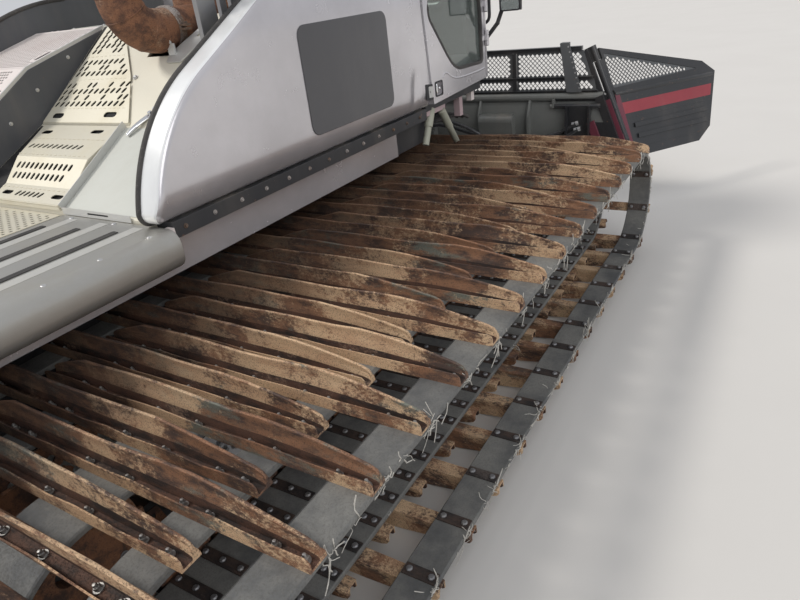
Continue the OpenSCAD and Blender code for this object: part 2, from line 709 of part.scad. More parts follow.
// A hydraulic cylinder lies along X from its barrel's pin at the origin
module barrel(l, r, w) {
    difference() {
        union() {
            rotate([90, 0, 0]) cylinder(h = w, r = eye_r, center = true);
            translate([eye_r - 12, 0, 0]) rotate([0, 90, 0]) cylinder(h = l - eye_r + 12, r = r);
        }
        rotate([90, 0, 0]) cylinder(h = w + 2, r = eye_pin_r + pin_gap, center = true);
        translate([eye_r + 6, 0, 0]) rotate([0, 90, 0]) cylinder(h = l, r = r * 0.6 + 0.4);
    }
}
module piston_rod(reach, l, r, w) {
    difference() {
        union() {
            translate([reach - l, 0, 0]) rotate([0, 90, 0]) cylinder(h = l - 20, r = r * 0.6);
            translate([reach, 0, 0]) rotate([90, 0, 0]) cylinder(h = w, r = eye_r, center = true);
        }
        translate([reach, 0, 0]) rotate([90, 0, 0])
            cylinder(h = w + 2, r = eye_pin_r + eye_play - 4, center = true);
    }
}
// Turns a piece from lying along X to lie from p to q, both places in X and Z
module in_line(p, q, y) {
    translate([p[0], y, p[1]]) rotate([0, atan2(p[1] - q[1], q[0] - p[0]), 0]) children();
}
// Front tool
module blade_mount() {
    color([0.12, 0.12, 0.13]) place() both_sides() {
        for (y = [242, 364]) side_prism(y, y + 22) difference() {
            polygon([[hull_front_x - 230, belly_z], [lift_pin[0], 270], [lift_pin[0], 390],
                [hull_front_x, 460]]);
            translate(lift_pin) circle(r = 60);
        }
        rod_y(lift_pin[0], lift_pin[1], 242, 386, pin_r);
        for (y = [242, 364]) rod_y(lift_pin[0], lift_pin[1], y, y + 22, 60);
        for (y = [cylinder_y - 62, cylinder_y + 42]) {
            side_prism(y, y + 20) difference() {
                translate([hull_front_x, 740]) square([lift_barrel_pin[0] - hull_front_x, 100]);
                translate(lift_barrel_pin) circle(r = 40);
            }
            rod_y(lift_barrel_pin[0], lift_barrel_pin[1], y, y + 20, 40);
        }
        rod_y(lift_barrel_pin[0], lift_barrel_pin[1], cylinder_y - 62, cylinder_y + 62, eye_pin_r);
    }
}
module lift_frame() {
    beam = [carrier_pin[0] - 160, carrier_pin[0] - 66];
    color([0.12, 0.12, 0.13]) place() difference() {
        union() {
            both_sides() {
                rod_y(lift_pin[0], lift_pin[1], 270, 358, 58);
                block([lift_pin[0], beam[0] + 10], [270, 358], [290, 370]);
                for (y = [cylinder_y - 62, cylinder_y + 42])
                    side_prism(y, y + 20) polygon([[beam[0] + 4, 330], [beam[1] - 4, 330],
                        [lift_eye[0] + 34, lift_eye[1] + 30], [lift_eye[0] - 34, lift_eye[1] + 30]]);
                rod_y(lift_eye[0], lift_eye[1], cylinder_y - 62, cylinder_y + 62, eye_pin_r - 2);
            }
            block(beam, [-358, 358], [285, 375]);
            block([beam[1] - 1, carrier_pin[0]], [-140, 140], [290, 370]);
            rod_y(carrier_pin[0], carrier_pin[1], -140, 140, 55);
        }
        both_sides() rod_y(lift_pin[0], lift_pin[1], 260, 368, pin_r + pin_gap);
        rod_y(carrier_pin[0], carrier_pin[1], -150, 150, pin_r + pin_gap);
    }
}
module blade_carrier() {
    back = carrier_pin[0] + 72;
    color([0.15, 0.15, 0.16]) place() {
        block([back, swivel_x - 85], [-205, 205], [230, 620]);
        rod_y(carrier_pin[0], carrier_pin[1], -205, 205, pin_r);
        both_sides() {
            block([carrier_pin[0], back + 1], [150, 205], [275, 385]);
            rod_y(carrier_pin[0], carrier_pin[1], 150, 205, 55);
        }
        for (z = [230, 580]) {
            block([swivel_x - 86, swivel_x], [-60, 60], [z, z + 40]);
            translate([swivel_x, 0, z]) cylinder(h = 40, r = 60);
        }
        translate([swivel_x, 0, 231]) cylinder(h = 388, r = pin_r + 5);
    }
}
module blade_head() {
    color([0.12, 0.12, 0.13]) place() difference() {
        union() {
            translate([swivel_x, 0, 278]) cylinder(h = 294, r = 68);
            block([swivel_x + 20, swivel_x + 84], [-60, 60], [300, 550]);
            block([swivel_x + 62, swivel_x + 84], [-200, 200], [300, 550]);
            translate([swivel_x + 80, 0, tilt_z]) rotate([0, 90, 0]) cylinder(h = 76, r = 40);
        }
        translate([swivel_x, 0, 270]) cylinder(h = 310, r = pin_r + 5 + pin_gap);
    }
}
// The blade's plate is an arc from its lower edge to the pipe
module blade_plate(x, h, r, t, y) {
    a = asin(h / 2 / r);
    side_prism(-y, y) polygon(concat(
        arc([x + r, blade_z + h / 2], r, 180 - a, 180 + a, 8),
        arc([x + r, blade_z + h / 2], r - t, 180 + a, 180 - a, 8)));
}
// Distance of a wing's hinge from the middle, at a height
function hinge_y(z) = blade_half_w - (z - pipe_z) * tan(hinge_lean);
// Everything between the two leaning hinges, kept d from their axes
module between_hinges(d) {
    low = blade_z - 50;
    high = screen_z + 200;
    e = d / cos(hinge_lean);
    intersection() {
        cross_prism(blade_x - 300, blade_x + 300) polygon([[e - hinge_y(low), low],
            [hinge_y(low) - e, low], [hinge_y(high) - e, high], [e - hinge_y(high), high]]);
        children();
    }
}
// Turns a piece from the wings' own frame into place: Z along the hinge, Y outwards
module at_hinge() {
    translate([blade_x, blade_half_w, pipe_z]) rotate([hinge_lean, 0, 0]) children();
}
hinge_r = 26;
hinge_low = (blade_z - pipe_z) / cos(hinge_lean) + 20;
hinge_high = (screen_z + 20 - pipe_z) / cos(hinge_lean);
// The blade's own knuckles lie in these spans along the hinge, the wing's between them
BLADE_KNUCKLES = [[hinge_low, hinge_low + 120], [-110, 20], [hinge_high - 110, hinge_high]];
module blade_centre() {
    back = blade_x - 60;
    column_y = [1345, 1530];
    color([0.1, 0.1, 0.11]) place() {
        difference() {
            union() {
                between_hinges(60) blade_plate(back, pipe_z - blade_z - 20, 620, 14, blade_half_w + 260);
                rod_y(blade_x - 20, pipe_z, 40 - blade_half_w, blade_half_w - 40, pipe_r);
                both_sides() for (y = [200, 620, 1040]) side_prism(y, y + 16) polygon([
                    [back + 4, blade_z + 60], [back + 4, pipe_z - 85], [blade_x - 30, pipe_z - 20],
                    [blade_x - 50, pipe_z - 20], [back - 50, pipe_z - 135],
                    [back - 50, blade_z + 90]]);
                both_sides() difference() {
                    block([back - 50, back + 8], column_y, [blade_z + 40, pipe_z - 60]);
                    block([back - 51, back - 14], column_y + [12, -12], [blade_z, pipe_z]);
                }
                both_sides() rod_y(blade_x - 62, pipe_z - 62, 1220, 1600, 16);
                both_sides() block([blade_x - 78, blade_x - 30], [1236, 1252],
                    [pipe_z - 74, pipe_z - 10]);
                side_prism(-930, -640) polygon(concat([[back + 8, 535], [back - 70, 535]],
                    arc([back - 40, 640], 50, 180, 90, 5), [[back + 8, 690]]));
                block([swivel_x + 92, swivel_x + 108], [-216, 216],
                    [tilt_z - 50, tilt_z + 130]);
                block([swivel_x + 92, back + 8], [-216, -196], [tilt_z - 50, tilt_z + 130]);
                block([swivel_x + 92, back + 8], [196, 216], [tilt_z - 50, tilt_z + 130]);
                translate([swivel_x + 92, 0, tilt_z]) rotate([0, 90, 0]) cylinder(h = 80, r = 85);
            }
            translate([swivel_x + 90, 0, tilt_z]) rotate([0, 90, 0])
                cylinder(h = 72, r = 40 + pin_gap);
        }
        both_sides() at_hinge() {
            block([-62, 2], [-92, -32], [hinge_low - 20, 30]);
            block([-22, 2], [-56, -32], [29, hinge_high]);
            for (k = BLADE_KNUCKLES) {
                translate([0, 0, k[0]]) cylinder(h = k[1] - k[0], r = hinge_r);
                block([-20, 0], [-33, 0], k);
            }
            translate([0, 0, hinge_low]) cylinder(h = hinge_high - hinge_low, r = wing_pin_r);
        }
    }
}
module blade_screens() {
    foot = pipe_z + pipe_r + 0.3;
    post_y = 462;
    color([0.1, 0.1, 0.11]) place() {
        between_hinges(56 + seat_gap) union() {
            for (i = [-2 : 2]) block([blade_x - 40, blade_x], [i * post_y - 14, i * post_y + 14],
                [foot, screen_z]);
            block([blade_x - 24, blade_x - 16], [-blade_half_w, blade_half_w], [foot, screen_z]);
            block([blade_x - 40, blade_x], [-blade_half_w, blade_half_w],
                [screen_z, screen_z + 28]);
            block([blade_x - 40, blade_x], [-blade_half_w, blade_half_w],
                [screen_z - 205, screen_z - 183]);
            block([blade_x - 40, blade_x], [-blade_half_w, blade_half_w], [foot, foot + 14]);
        }
        both_sides() {
            cross_prism(blade_x - 52, blade_x - 39.9) polygon([[1340, foot], [1456, foot],
                [1358, screen_z + 58], [1287, screen_z + 58]]);
            block([blade_x - 52, blade_x - 2], [1290, 1350], [screen_z + 27.9, screen_z + 58]);
        }
    }
}
// A wing lies level when it is folded forward by wing_angle: p runs along it, q up its plate
module wing() {
    gap = 2;
    q_low = (blade_z - pipe_z) * cos(level_turn) / cos(hinge_lean);
    q_top = (screen_z + 16 - pipe_z) * cos(level_turn) / cos(hinge_lean);
    color([0.1, 0.1, 0.11]) at_hinge() rotate([0, 0, 90 - wing_angle]) difference() {
        union() {
            intersection() {
                rotate([0, level_turn, 0]) union() {
                    side_prism(-wing_half_t, wing_half_t) polygon([[-300, q_low],
                        [wing_l - 270, q_low], [wing_l - 134, q_low + 94], [wing_l, wing_tip_q],
                        [wing_l - 117, 111], [-108, q_top], [-300, q_top + 47]]);
                    translate([-200, 0, 0]) rotate([0, 90, 0]) cylinder(h = wing_l + 170, r = 20);
                    for (q = [q_low + 150, q_low + 232]) side_prism(wing_half_t - 1, wing_half_t + 12)
                        polygon([[-200, q - 16], [wing_l - 160, q - 16], [wing_l - 148, q + 16],
                            [-200, q + 16]]);
                }
                block([40, wing_l + 200], [-60, 60], [-900, 900]);
            }
            for (k = [0, 1]) {
                v = [BLADE_KNUCKLES[k][1] + gap, BLADE_KNUCKLES[k + 1][0] - gap];
                translate([0, 0, v[0]]) cylinder(h = v[1] - v[0], r = hinge_r);
                block([0, 41], [-wing_half_t, wing_half_t], v);
            }
        }
        translate([0, 0, hinge_low - 60]) cylinder(h = hinge_high - hinge_low + 120,
            r = wing_pin_r + 0.4);
    }
}
module wing_left() { place() wing(); }
module wing_right() { place() mirror([0, 1, 0]) wing(); }
module lift_barrels() {
    color([0.12, 0.12, 0.13]) place() both_sides()
        in_line(lift_barrel_pin, lift_eye, cylinder_y) barrel(lift_barrel_l, 36, 80);
}
module lift_rods() {
    color("lightgray") place() both_sides()
        in_line(lift_barrel_pin, lift_eye, cylinder_y) piston_rod(lift_len, lift_rod_l, 36, 80);
}

// Rear tool
module tiller_mount() {
    color([0.12, 0.12, 0.13]) place() {
        both_sides() {
            for (y = [214, 306]) side_prism(y, y + 20) difference() {
                translate([tiller_pin[0], 400]) square([hull_rear_x - tiller_pin[0], 160]);
                translate(tiller_pin) circle(r = 56);
            }
            rod_y(tiller_pin[0], tiller_pin[1], 214, 326, pin_r);
            for (y = [214, 306]) rod_y(tiller_pin[0], tiller_pin[1], y, y + 20, 56);
        }
        for (y = [-62, 42]) {
            side_prism(y, y + 20) difference() {
                translate([tiller_barrel_pin[0], tiller_barrel_pin[1] - 50])
                    square([hull_rear_x - tiller_barrel_pin[0], 100]);
                translate(tiller_barrel_pin) circle(r = 36);
            }
            rod_y(tiller_barrel_pin[0], tiller_barrel_pin[1], y, y + 20, 36);
        }
        rod_y(tiller_barrel_pin[0], tiller_barrel_pin[1], -62, 62, eye_pin_r);
    }
}
module tiller_arm() {
    beam = [tiller_beam_x - 40, tiller_beam_x + 40];
    color([0.12, 0.12, 0.13]) place() difference() {
        union() {
            both_sides() {
                rod_y(tiller_pin[0], tiller_pin[1], 238, 302, 54);
                side_prism(238, 302) polygon([[tiller_pin[0], tiller_pin[1] - 40],
                    [tiller_pin[0], tiller_pin[1] + 46], [beam[0], 670], [beam[0], 590]]);
            }
            block(beam, [-302, 302], [595, 675]);
            for (y = [-62, 42]) side_prism(y, y + 20) polygon([[beam[0], 660], [beam[1], 660],
                tiller_eye + [22, 34], tiller_eye + [-22, 34]]);
            rod_y(tiller_eye[0], tiller_eye[1], -62, 62, eye_pin_r - 2);
            translate([beam[0] - 90, 0, roll_z]) rotate([0, 90, 0]) cylinder(h = 91, r = 35);
        }
        both_sides() rod_y(tiller_pin[0], tiller_pin[1], 230, 310, pin_r + pin_gap);
    }
}
module tiller_barrel() {
    color([0.12, 0.12, 0.13]) place() in_line(tiller_barrel_pin, tiller_eye, 0)
        barrel(tiller_barrel_l, 36, 80);
}
module tiller_rod() {
    l = norm(tiller_eye - tiller_barrel_pin);
    color("lightgray") place() in_line(tiller_barrel_pin, tiller_eye, 0)
        piston_rod(l, tiller_rod_l, 36, 80);
}
module tiller_hood() {
    beam = [tiller_beam_x - 128, tiller_beam_x - 48];
    axis = [rotor_x, rotor_z];
    color([0.12, 0.12, 0.13]) place() difference() {
        union() {
            side_prism(-tiller_half_w, tiller_half_w) difference() {
                translate(axis) circle(r = hood_r + 10, $fn = 96);
                translate(axis) circle(r = hood_r, $fn = 96);
                polygon([axis, axis - [600, 84], axis - [600, 600], axis + [600, -600],
                    axis + [600, 84]]);
            }
            both_sides() side_prism(tiller_half_w - 14, tiller_half_w) difference() {
                translate(axis) circle(r = hood_r + 4, $fn = 96);
                translate([rotor_x - 400, rotor_z - 400]) square([800, 260]);
            }
            block(beam, [560 - tiller_half_w, tiller_half_w - 560], [roll_z - 140, roll_z - 60]);
            translate([beam[0], 0, roll_z]) rotate([0, 90, 0])
                cylinder(h = beam[1] - beam[0], r = 66);
            for (k = [-2 : 2]) let (y = k * (tiller_half_w - 660) / 2) side_prism(y - 8, y + 8) difference() {
                polygon([[beam[0], roll_z - 70], [beam[1] - 10, roll_z - 70],
                    [rotor_x + 210, 470], [rotor_x + 60, 584]]);
                translate(axis) circle(r = hood_r + 5, $fn = 96);
            }
            for (y = comb_ears) side_prism(y - 8, y + 8) difference() {
                link(comb_pin, 22, comb_pin + [26, 0], 24);
                translate(axis) circle(r = hood_r + 5, $fn = 96);
            }
        }
        for (y = comb_ears) rod_y(comb_pin[0], comb_pin[1], y - 10, y + 10, comb_pin_r + 0.4);
        both_sides() rod_y(rotor_x, rotor_z, tiller_half_w - 20, tiller_half_w + 2, 36);
        translate([beam[0] - 2, 0, roll_z]) rotate([0, 90, 0])
            cylinder(h = beam[1] - beam[0] + 4, r = 35 + pin_gap);
    }
}
module rotor() {
    ring_count = 28;
    ring_step = (2 * tiller_half_w - 259) / (ring_count - 1);
    color([0.3, 0.3, 0.3]) place() {
        rod_y(rotor_x, rotor_z, -tiller_half_w + 24, tiller_half_w - 24, rotor_tube_r);
        rod_y(rotor_x, rotor_z, -tiller_half_w + 1, tiller_half_w - 1, 35);
        for (i = [0 : ring_count - 1])
            translate([rotor_x, -tiller_half_w + 100 + i * ring_step, rotor_z])
            rotate([0, i * 47, 0]) for (a = [0, 180]) rotate([0, a, 0])
                translate([rotor_tube_r - 6, -8, -25]) cube([rotor_r - rotor_tube_r + 4, 16, 50]);
    }
}
module comb_flap() {
    ear_half = 16;
    ends = concat([-tiller_half_w + ear_half], comb_ears, [tiller_half_w - ear_half]);
    color([0.1, 0.1, 0.1]) place() translate([comb_pin[0], 0, comb_pin[1]]) rotate([0, -comb_drop, 0]) {
        side_prism(-tiller_half_w, tiller_half_w)
            polygon([[-comb_l, -comb_half_t], [-30, -comb_half_t], [-30, comb_half_t],
                [-comb_l, comb_half_t]]);
        for (i = [0 : len(ends) - 2]) block([-31, 0], [ends[i] + ear_half, ends[i + 1] - ear_half],
            [-8, 8]);
        rod_y(0, 0, comb_ears[0] - 30, comb_ears[len(comb_ears) - 1] + 30, comb_pin_r);
    }
}

hull();
platform();
engine_block();
wheel_arms();
wheel_tyres();
wheel_rims();
drive_sprockets();
place() belts();  // belts_left
place() mirror([0, 1, 0]) belts();  // belts_right
place() bars();  // bars_left
place() mirror([0, 1, 0]) bars();  // bars_right
place() pod();  // pod_left
place() mirror([0, 1, 0]) pod();  // pod_right
pod_panels();
body_sills();
engine_hood();
rear_stairs();
rear_deck();
exhaust();
heat_shield();
cab_frame();
cab_shell();
windscreen();
rear_window();
seats();
console();
roof_lamps();
beacon();
mirrors();
door_left();
door_right();
door_glass_left();
door_glass_right();
blade_mount();
lift_frame();
blade_carrier();
blade_head();
blade_centre();
blade_screens();
wing_left();
wing_right();
lift_barrels();
lift_rods();
tiller_mount();
tiller_arm();
tiller_barrel();
tiller_rod();
tiller_hood();
rotor();
comb_flap();
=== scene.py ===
"""Snow groomer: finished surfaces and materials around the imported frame, in metres.

X points forward, Y left and Z up. LONG_BAR is the place along X of the long track bar that the
photograph's measurements start from.
"""
import json
import math

import bmesh
import bpy
import numpy as np
from mathutils import Matrix, Vector, geometry

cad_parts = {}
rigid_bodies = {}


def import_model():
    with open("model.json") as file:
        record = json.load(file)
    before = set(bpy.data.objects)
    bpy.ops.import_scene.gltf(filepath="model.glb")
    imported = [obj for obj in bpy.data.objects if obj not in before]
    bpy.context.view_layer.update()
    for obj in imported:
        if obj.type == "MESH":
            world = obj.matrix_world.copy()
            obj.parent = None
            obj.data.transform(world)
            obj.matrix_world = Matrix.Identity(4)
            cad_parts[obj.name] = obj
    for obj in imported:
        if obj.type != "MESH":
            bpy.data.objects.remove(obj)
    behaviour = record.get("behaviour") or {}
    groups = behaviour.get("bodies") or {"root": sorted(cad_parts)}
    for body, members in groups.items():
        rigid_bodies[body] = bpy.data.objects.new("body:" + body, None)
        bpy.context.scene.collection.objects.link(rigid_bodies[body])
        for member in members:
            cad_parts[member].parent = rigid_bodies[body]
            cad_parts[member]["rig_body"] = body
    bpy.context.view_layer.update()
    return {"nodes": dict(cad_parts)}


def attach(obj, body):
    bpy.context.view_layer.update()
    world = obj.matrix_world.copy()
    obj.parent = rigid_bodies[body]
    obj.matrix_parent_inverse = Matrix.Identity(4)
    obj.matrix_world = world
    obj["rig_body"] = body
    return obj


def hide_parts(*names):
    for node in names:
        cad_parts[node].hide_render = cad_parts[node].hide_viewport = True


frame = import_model()
nodes = frame["nodes"]
chance = np.random.default_rng(7)

LONG_BAR = -1.66432


class Shape:
    """Points and faces of a surface. Faces are arrays, one array for each number of corners."""

    def __init__(self, points, *faces):
        self.points = np.asarray(points, float).reshape(-1, 3)
        self.faces = [np.asarray(f, int) for f in faces if len(f)]

    def moved(self, place=(0, 0, 0), turn=None):
        """The shape turned by a 3 x 3 matrix and then moved."""
        p = self.points if turn is None else self.points @ np.asarray(turn, float).T
        return Shape(p + np.asarray(place, float), *self.faces)

    def mirrored(self):
        """The shape on the other side of the machine: Y changes sign and faces turn round."""
        return Shape(self.points * (1, -1, 1), *[f[:, ::-1] for f in self.faces])

    def repeated(self, places, turns=None):
        """Copies at each place: point = turn times point plus place."""
        places = np.asarray(places, float)
        count = len(places)
        if turns is None:
            p = self.points[None] + places[:, None]
        else:
            p = np.einsum("kij,nj->kni", np.asarray(turns, float), self.points) + places[:, None]
        step = np.arange(count)[:, None, None] * len(self.points)
        return Shape(p, *[(f[None] + step).reshape(-1, f.shape[1]) for f in self.faces])


def joined(*shapes):
    """All the shapes as one, with their faces counted on."""
    points, faces, start = [], {}, 0
    for s in shapes:
        points.append(s.points)
        for f in s.faces:
            faces.setdefault(f.shape[1], []).append(f + start)
        start += len(s.points)
    return Shape(np.concatenate(points), *[np.concatenate(f) for f in faces.values()])


def both(shape):
    """The shape and its mirror image."""
    return joined(shape, shape.mirrored())


def sheet_faces(rows, columns, round_rows=False, round_columns=False):
    """Four-cornered faces between neighbours on a grid of points."""
    r = np.arange(rows if round_rows else rows - 1)
    c = np.arange(columns if round_columns else columns - 1)
    r, c = np.meshgrid(r, c, indexing="ij")
    r2, c2 = (r + 1) % rows, (c + 1) % columns
    return np.stack([r * columns + c, r2 * columns + c, r2 * columns + c2, r * columns + c2],
                    -1).reshape(-1, 4)


def surface(points, round_rows=False, round_columns=False, flip=False):
    """A surface from an array of rows x columns x 3 points."""
    points = np.asarray(points, float)
    f = sheet_faces(points.shape[0], points.shape[1], round_rows, round_columns)
    return Shape(points, f[:, ::-1] if flip else f)


def carried(section, path, up=(0, 0, 1), closed=False, caps=True):
    """A closed section carried along a path: point = path + a * side + b * up.

    The section holds (a, b) pairs drawn anticlockwise, or one such list for each path point.
    Side is way x up, and up is squared to the way again.
    """
    path = np.asarray(path, float)
    section = np.asarray(section, float)
    if section.ndim == 2:
        section = np.broadcast_to(section, (len(path),) + section.shape)
    if closed:
        way = np.roll(path, -1, 0) - np.roll(path, 1, 0)
    else:
        way = np.gradient(path, axis=0)
    way = way / np.linalg.norm(way, axis=1, keepdims=True)
    side = np.cross(way, np.broadcast_to(np.asarray(up, float), path.shape))
    side = side / np.linalg.norm(side, axis=1, keepdims=True)
    over = np.cross(side, way)
    p = (path[:, None] + section[..., 0:1] * side[:, None] + section[..., 1:2] * over[:, None])
    rows, columns = p.shape[:2]
    quads = sheet_faces(rows, columns, closed, True)
    ends = []
    if caps and not closed:
        ends = [np.arange(columns)[None], (np.arange(columns)[::-1] + (rows - 1) * columns)[None]]
        ends = [np.concatenate(ends)]
    return Shape(p, quads, *ends)


def circle(radius, steps, start=0.0):
    """Points round a circle, anticlockwise."""
    a = np.linspace(0, 2 * math.pi, steps, endpoint=False) + math.radians(start)
    return np.stack([np.cos(a), np.sin(a)], -1) * radius


def arc(centre, radius, first, last, steps):
    """Points on an arc, angles in degrees."""
    a = np.radians(np.linspace(first, last, steps + 1))
    return np.asarray(centre, float) + radius * np.stack([np.cos(a), np.sin(a)], -1)


def tube(path, radius, steps=12, **more):
    """A round tube along a path; the way up is the axis along which the path moves least."""
    spread = np.abs(np.diff(np.asarray(path, float), axis=0)).sum(0)
    more.setdefault("up", np.eye(3)[np.argmin(spread)])
    return carried(circle(radius, steps), path, **more)


def smooth_path(points, steps=8):
    """A soft curve through points: on each stretch p = Catmull and Rom's cubic in t."""
    p = np.asarray(points, float)
    p = np.concatenate([2 * p[:1] - p[1:2], p, 2 * p[-1:] - p[-2:-1]])
    t = np.linspace(0, 1, steps, endpoint=False)[:, None]
    out = [0.5 * (2 * b + (c - a) * t + (2 * a - 5 * b + 4 * c - d) * t ** 2
                  + (3 * b - a - 3 * c + d) * t ** 3)
           for a, b, c, d in zip(p, p[1:], p[2:], p[3:])]
    return np.concatenate(out + [p[-2:-1]])


def turned(profile, steps=48, place=(0, 0, 0), axis="y"):
    """A profile of (radius, along) pairs turned about an axis; it closes on itself."""
    profile = np.asarray(profile, float)
    a = np.linspace(0, 2 * math.pi, steps, endpoint=False)[:, None]
    r, h = profile[None, :, 0], profile[None, :, 1] + 0 * a
    spots = {"y": (r * np.cos(a), h, r * np.sin(a)), "x": (h, r * np.cos(a), r * np.sin(a)),
             "z": (r * np.cos(a), r * np.sin(a), h)}[axis]
    return surface(np.stack(spots, -1), True, True, flip=axis != "y").moved(place)


def rounded(corners, radius, steps=4):
    """A closed outline with soft corners: each is the curve a (1-t)^2 + 2 c t (1-t) + b t^2."""
    c = np.asarray(corners, float)
    t = np.linspace(0, 1, steps + 1)[:, None]
    out = []
    for before, here, after in zip(np.roll(c, 1, 0), c, np.roll(c, -1, 0)):
        a = here + (before - here) / np.linalg.norm(before - here) * radius
        b = here + (after - here) / np.linalg.norm(after - here) * radius
        out.append(a * (1 - t) ** 2 + 2 * here * t * (1 - t) + b * t ** 2)
    return np.concatenate(out)


def anticlockwise(ring):
    """The ring in the order that keeps its inside on the left: twice its area is positive."""
    ring = np.asarray(ring, float)
    ahead = np.roll(ring, -1, 0)
    return ring if (ring[:, 0] * ahead[:, 1] - ahead[:, 0] * ring[:, 1]).sum() > 0 else ring[::-1]


def slab(outline, holes=(), thick=0.003):
    """A flat plate in X and Y with its top at 0: the outline less the holes, all closed rings."""
    rings = [anticlockwise(ring) for ring in [outline] + list(holes)]
    flat = np.concatenate(rings)
    edges, faces, start = [], [], 0
    for ring in rings:
        spots = np.arange(len(ring))
        edges.append(np.stack([spots, np.roll(spots, -1)], -1) + start)
        faces.append((spots + start).tolist())
        start += len(ring)
    edges = np.concatenate(edges).tolist()
    made = geometry.delaunay_2d_cdt([Vector(p) for p in flat], edges, faces, 0, 1e-7)
    flat = np.array([tuple(v) for v in made[0]])
    tris = np.array([f for f, origin in zip(made[2], made[5]) if list(origin) == [0]])
    n = len(flat)
    top = np.column_stack([flat, np.zeros(n)])
    sides = np.concatenate([tris[:, [0, 1]], tris[:, [1, 2]], tris[:, [2, 0]]])
    kinds, back, count = np.unique(np.sort(sides, 1), axis=0, return_inverse=True,
                                   return_counts=True)
    rim = sides[count[back.ravel()] == 1]
    walls = np.column_stack([rim[:, 0], rim[:, 0] + n, rim[:, 1] + n, rim[:, 1]])
    return Shape(np.concatenate([top, top - (0, 0, thick)]),
                 np.concatenate([tris, tris[:, ::-1] + n]), walls)


def laid(shape, origin, u, v):
    """A flat shape's X and Y along u and v from an origin, and its Z square to both."""
    u, v = np.asarray(u, float), np.asarray(v, float)
    u, v = u / np.linalg.norm(u), v / np.linalg.norm(v)
    return shape.moved(origin, np.stack([u, v, np.cross(u, v)], -1))


def studs(head, places, normal):
    """A bolt head, drawn about Z, at each place, standing along the normal."""
    n = np.asarray(normal, float) / np.linalg.norm(normal)
    a = np.cross(n, (0, 0, 1) if abs(n[2]) < 0.9 else (1, 0, 0))
    a = a / np.linalg.norm(a)
    places = np.atleast_2d(np.asarray(places, float))
    turn = np.stack([a, np.cross(n, a), n], -1)
    return head.repeated(places, np.broadcast_to(turn, (len(places), 3, 3)))


def oblong(x0, x1, y0, y1):
    """The corners of a rectangle, anticlockwise."""
    return [(x0, y0), (x1, y0), (x1, y1), (x0, y1)]


def panel(corners, radius, steps, thick):
    """A flat plate without holes whose corners are soft."""
    return slab(rounded(corners, radius, steps), (), thick)


def row(first, last, count):
    """Places spread evenly from the first to the last."""
    return np.linspace(first, last, count)


def boxes(*corners):
    """Plain boxes, each as (x0, x1, y0, y1, z0, z1)."""
    c = np.asarray(corners, float)
    pick = np.array([[0, 2, 4], [1, 2, 4], [1, 3, 4], [0, 3, 4],
                     [0, 2, 5], [1, 2, 5], [1, 3, 5], [0, 3, 5]])
    one = np.array([[3, 2, 1, 0], [4, 5, 6, 7], [0, 1, 5, 4], [1, 2, 6, 5], [2, 3, 7, 6],
                    [3, 0, 4, 7]])
    faces = one[None] + 8 * np.arange(len(c))[:, None, None]
    return Shape(c[:, pick].reshape(-1, 3), faces.reshape(-1, 4))


# Each side's name, and what takes a shape drawn on the left there
SIDES = (("left", lambda shape: shape), ("right", Shape.mirrored))


def spin(axis, degrees):
    """A 3 x 3 turn about X, Y or Z."""
    return np.array(Matrix.Rotation(math.radians(degrees), 3, axis))


def put(name, shape, body, finish, sharp=32, bevel=0, replaces=()):
    """Adds a piece whose shape counts X from the long bar."""
    shape = shape.moved((LONG_BAR, 0, 0))
    return add_piece(name, shape, body, finish, sharp, bevel, replaces)


def add_piece(name, shape, body, finish, sharp=32, bevel=0, replaces=()):
    """Puts a shape in the scene as one named piece that rides on a body."""
    mesh = bpy.data.meshes.new(name)
    corners = np.concatenate([f.ravel() for f in shape.faces]).astype(np.int32)
    sizes = np.concatenate([np.full(len(f), f.shape[1]) for f in shape.faces])
    mesh.vertices.add(len(shape.points))
    mesh.vertices.foreach_set("co", shape.points.astype(np.float32).ravel())
    mesh.loops.add(len(corners))
    mesh.loops.foreach_set("vertex_index", corners)
    mesh.polygons.add(len(sizes))
    starts = np.concatenate([[0], np.cumsum(sizes)[:-1]]).astype(np.int32)
    mesh.polygons.foreach_set("loop_start", starts)
    mesh.update(calc_edges=True)
    mesh.validate()
    return settle(name, mesh, body, finish, sharp, bevel, replaces)


def settle(name, mesh, body, finish, sharp, bevel, replaces):
    """Gives a mesh its shading, edges, material and place on a body."""
    mesh.polygons.foreach_set("use_smooth", np.ones(len(mesh.polygons), bool))
    mesh.set_sharp_from_angle(angle=math.radians(sharp))
    piece = bpy.data.objects.new(name, mesh)
    bpy.context.scene.collection.objects.link(piece)
    mesh.materials.append(finish)
    if bevel:
        edge = piece.modifiers.new("edge", "BEVEL")
        edge.width = bevel
        edge.segments = 2
        edge.limit_method = "ANGLE"
        edge.angle_limit = math.radians(40)
        edge.harden_normals = True
        edge.use_clamp_overlap = True
    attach(piece, body)
    if replaces:
        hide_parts(*replaces)
    return piece


def dressed(node, finish, bevel=0.004, sharp=28):
    """Stands for a CAD node with a merged copy that has soft edges and smooth rounds."""
    source = nodes[node].data
    work = bmesh.new()
    work.from_mesh(source)
    bmesh.ops.remove_doubles(work, verts=work.verts, dist=1e-5)
    bmesh.ops.dissolve_limit(work, angle_limit=math.radians(1.0), verts=work.verts,
                             edges=work.edges)
    mesh = bpy.data.meshes.new(node + "_finished")
    work.to_mesh(mesh)
    work.free()
    body = nodes[node]["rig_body"]
    return settle(node + "_finished", mesh, body, finish, sharp, bevel, [node])


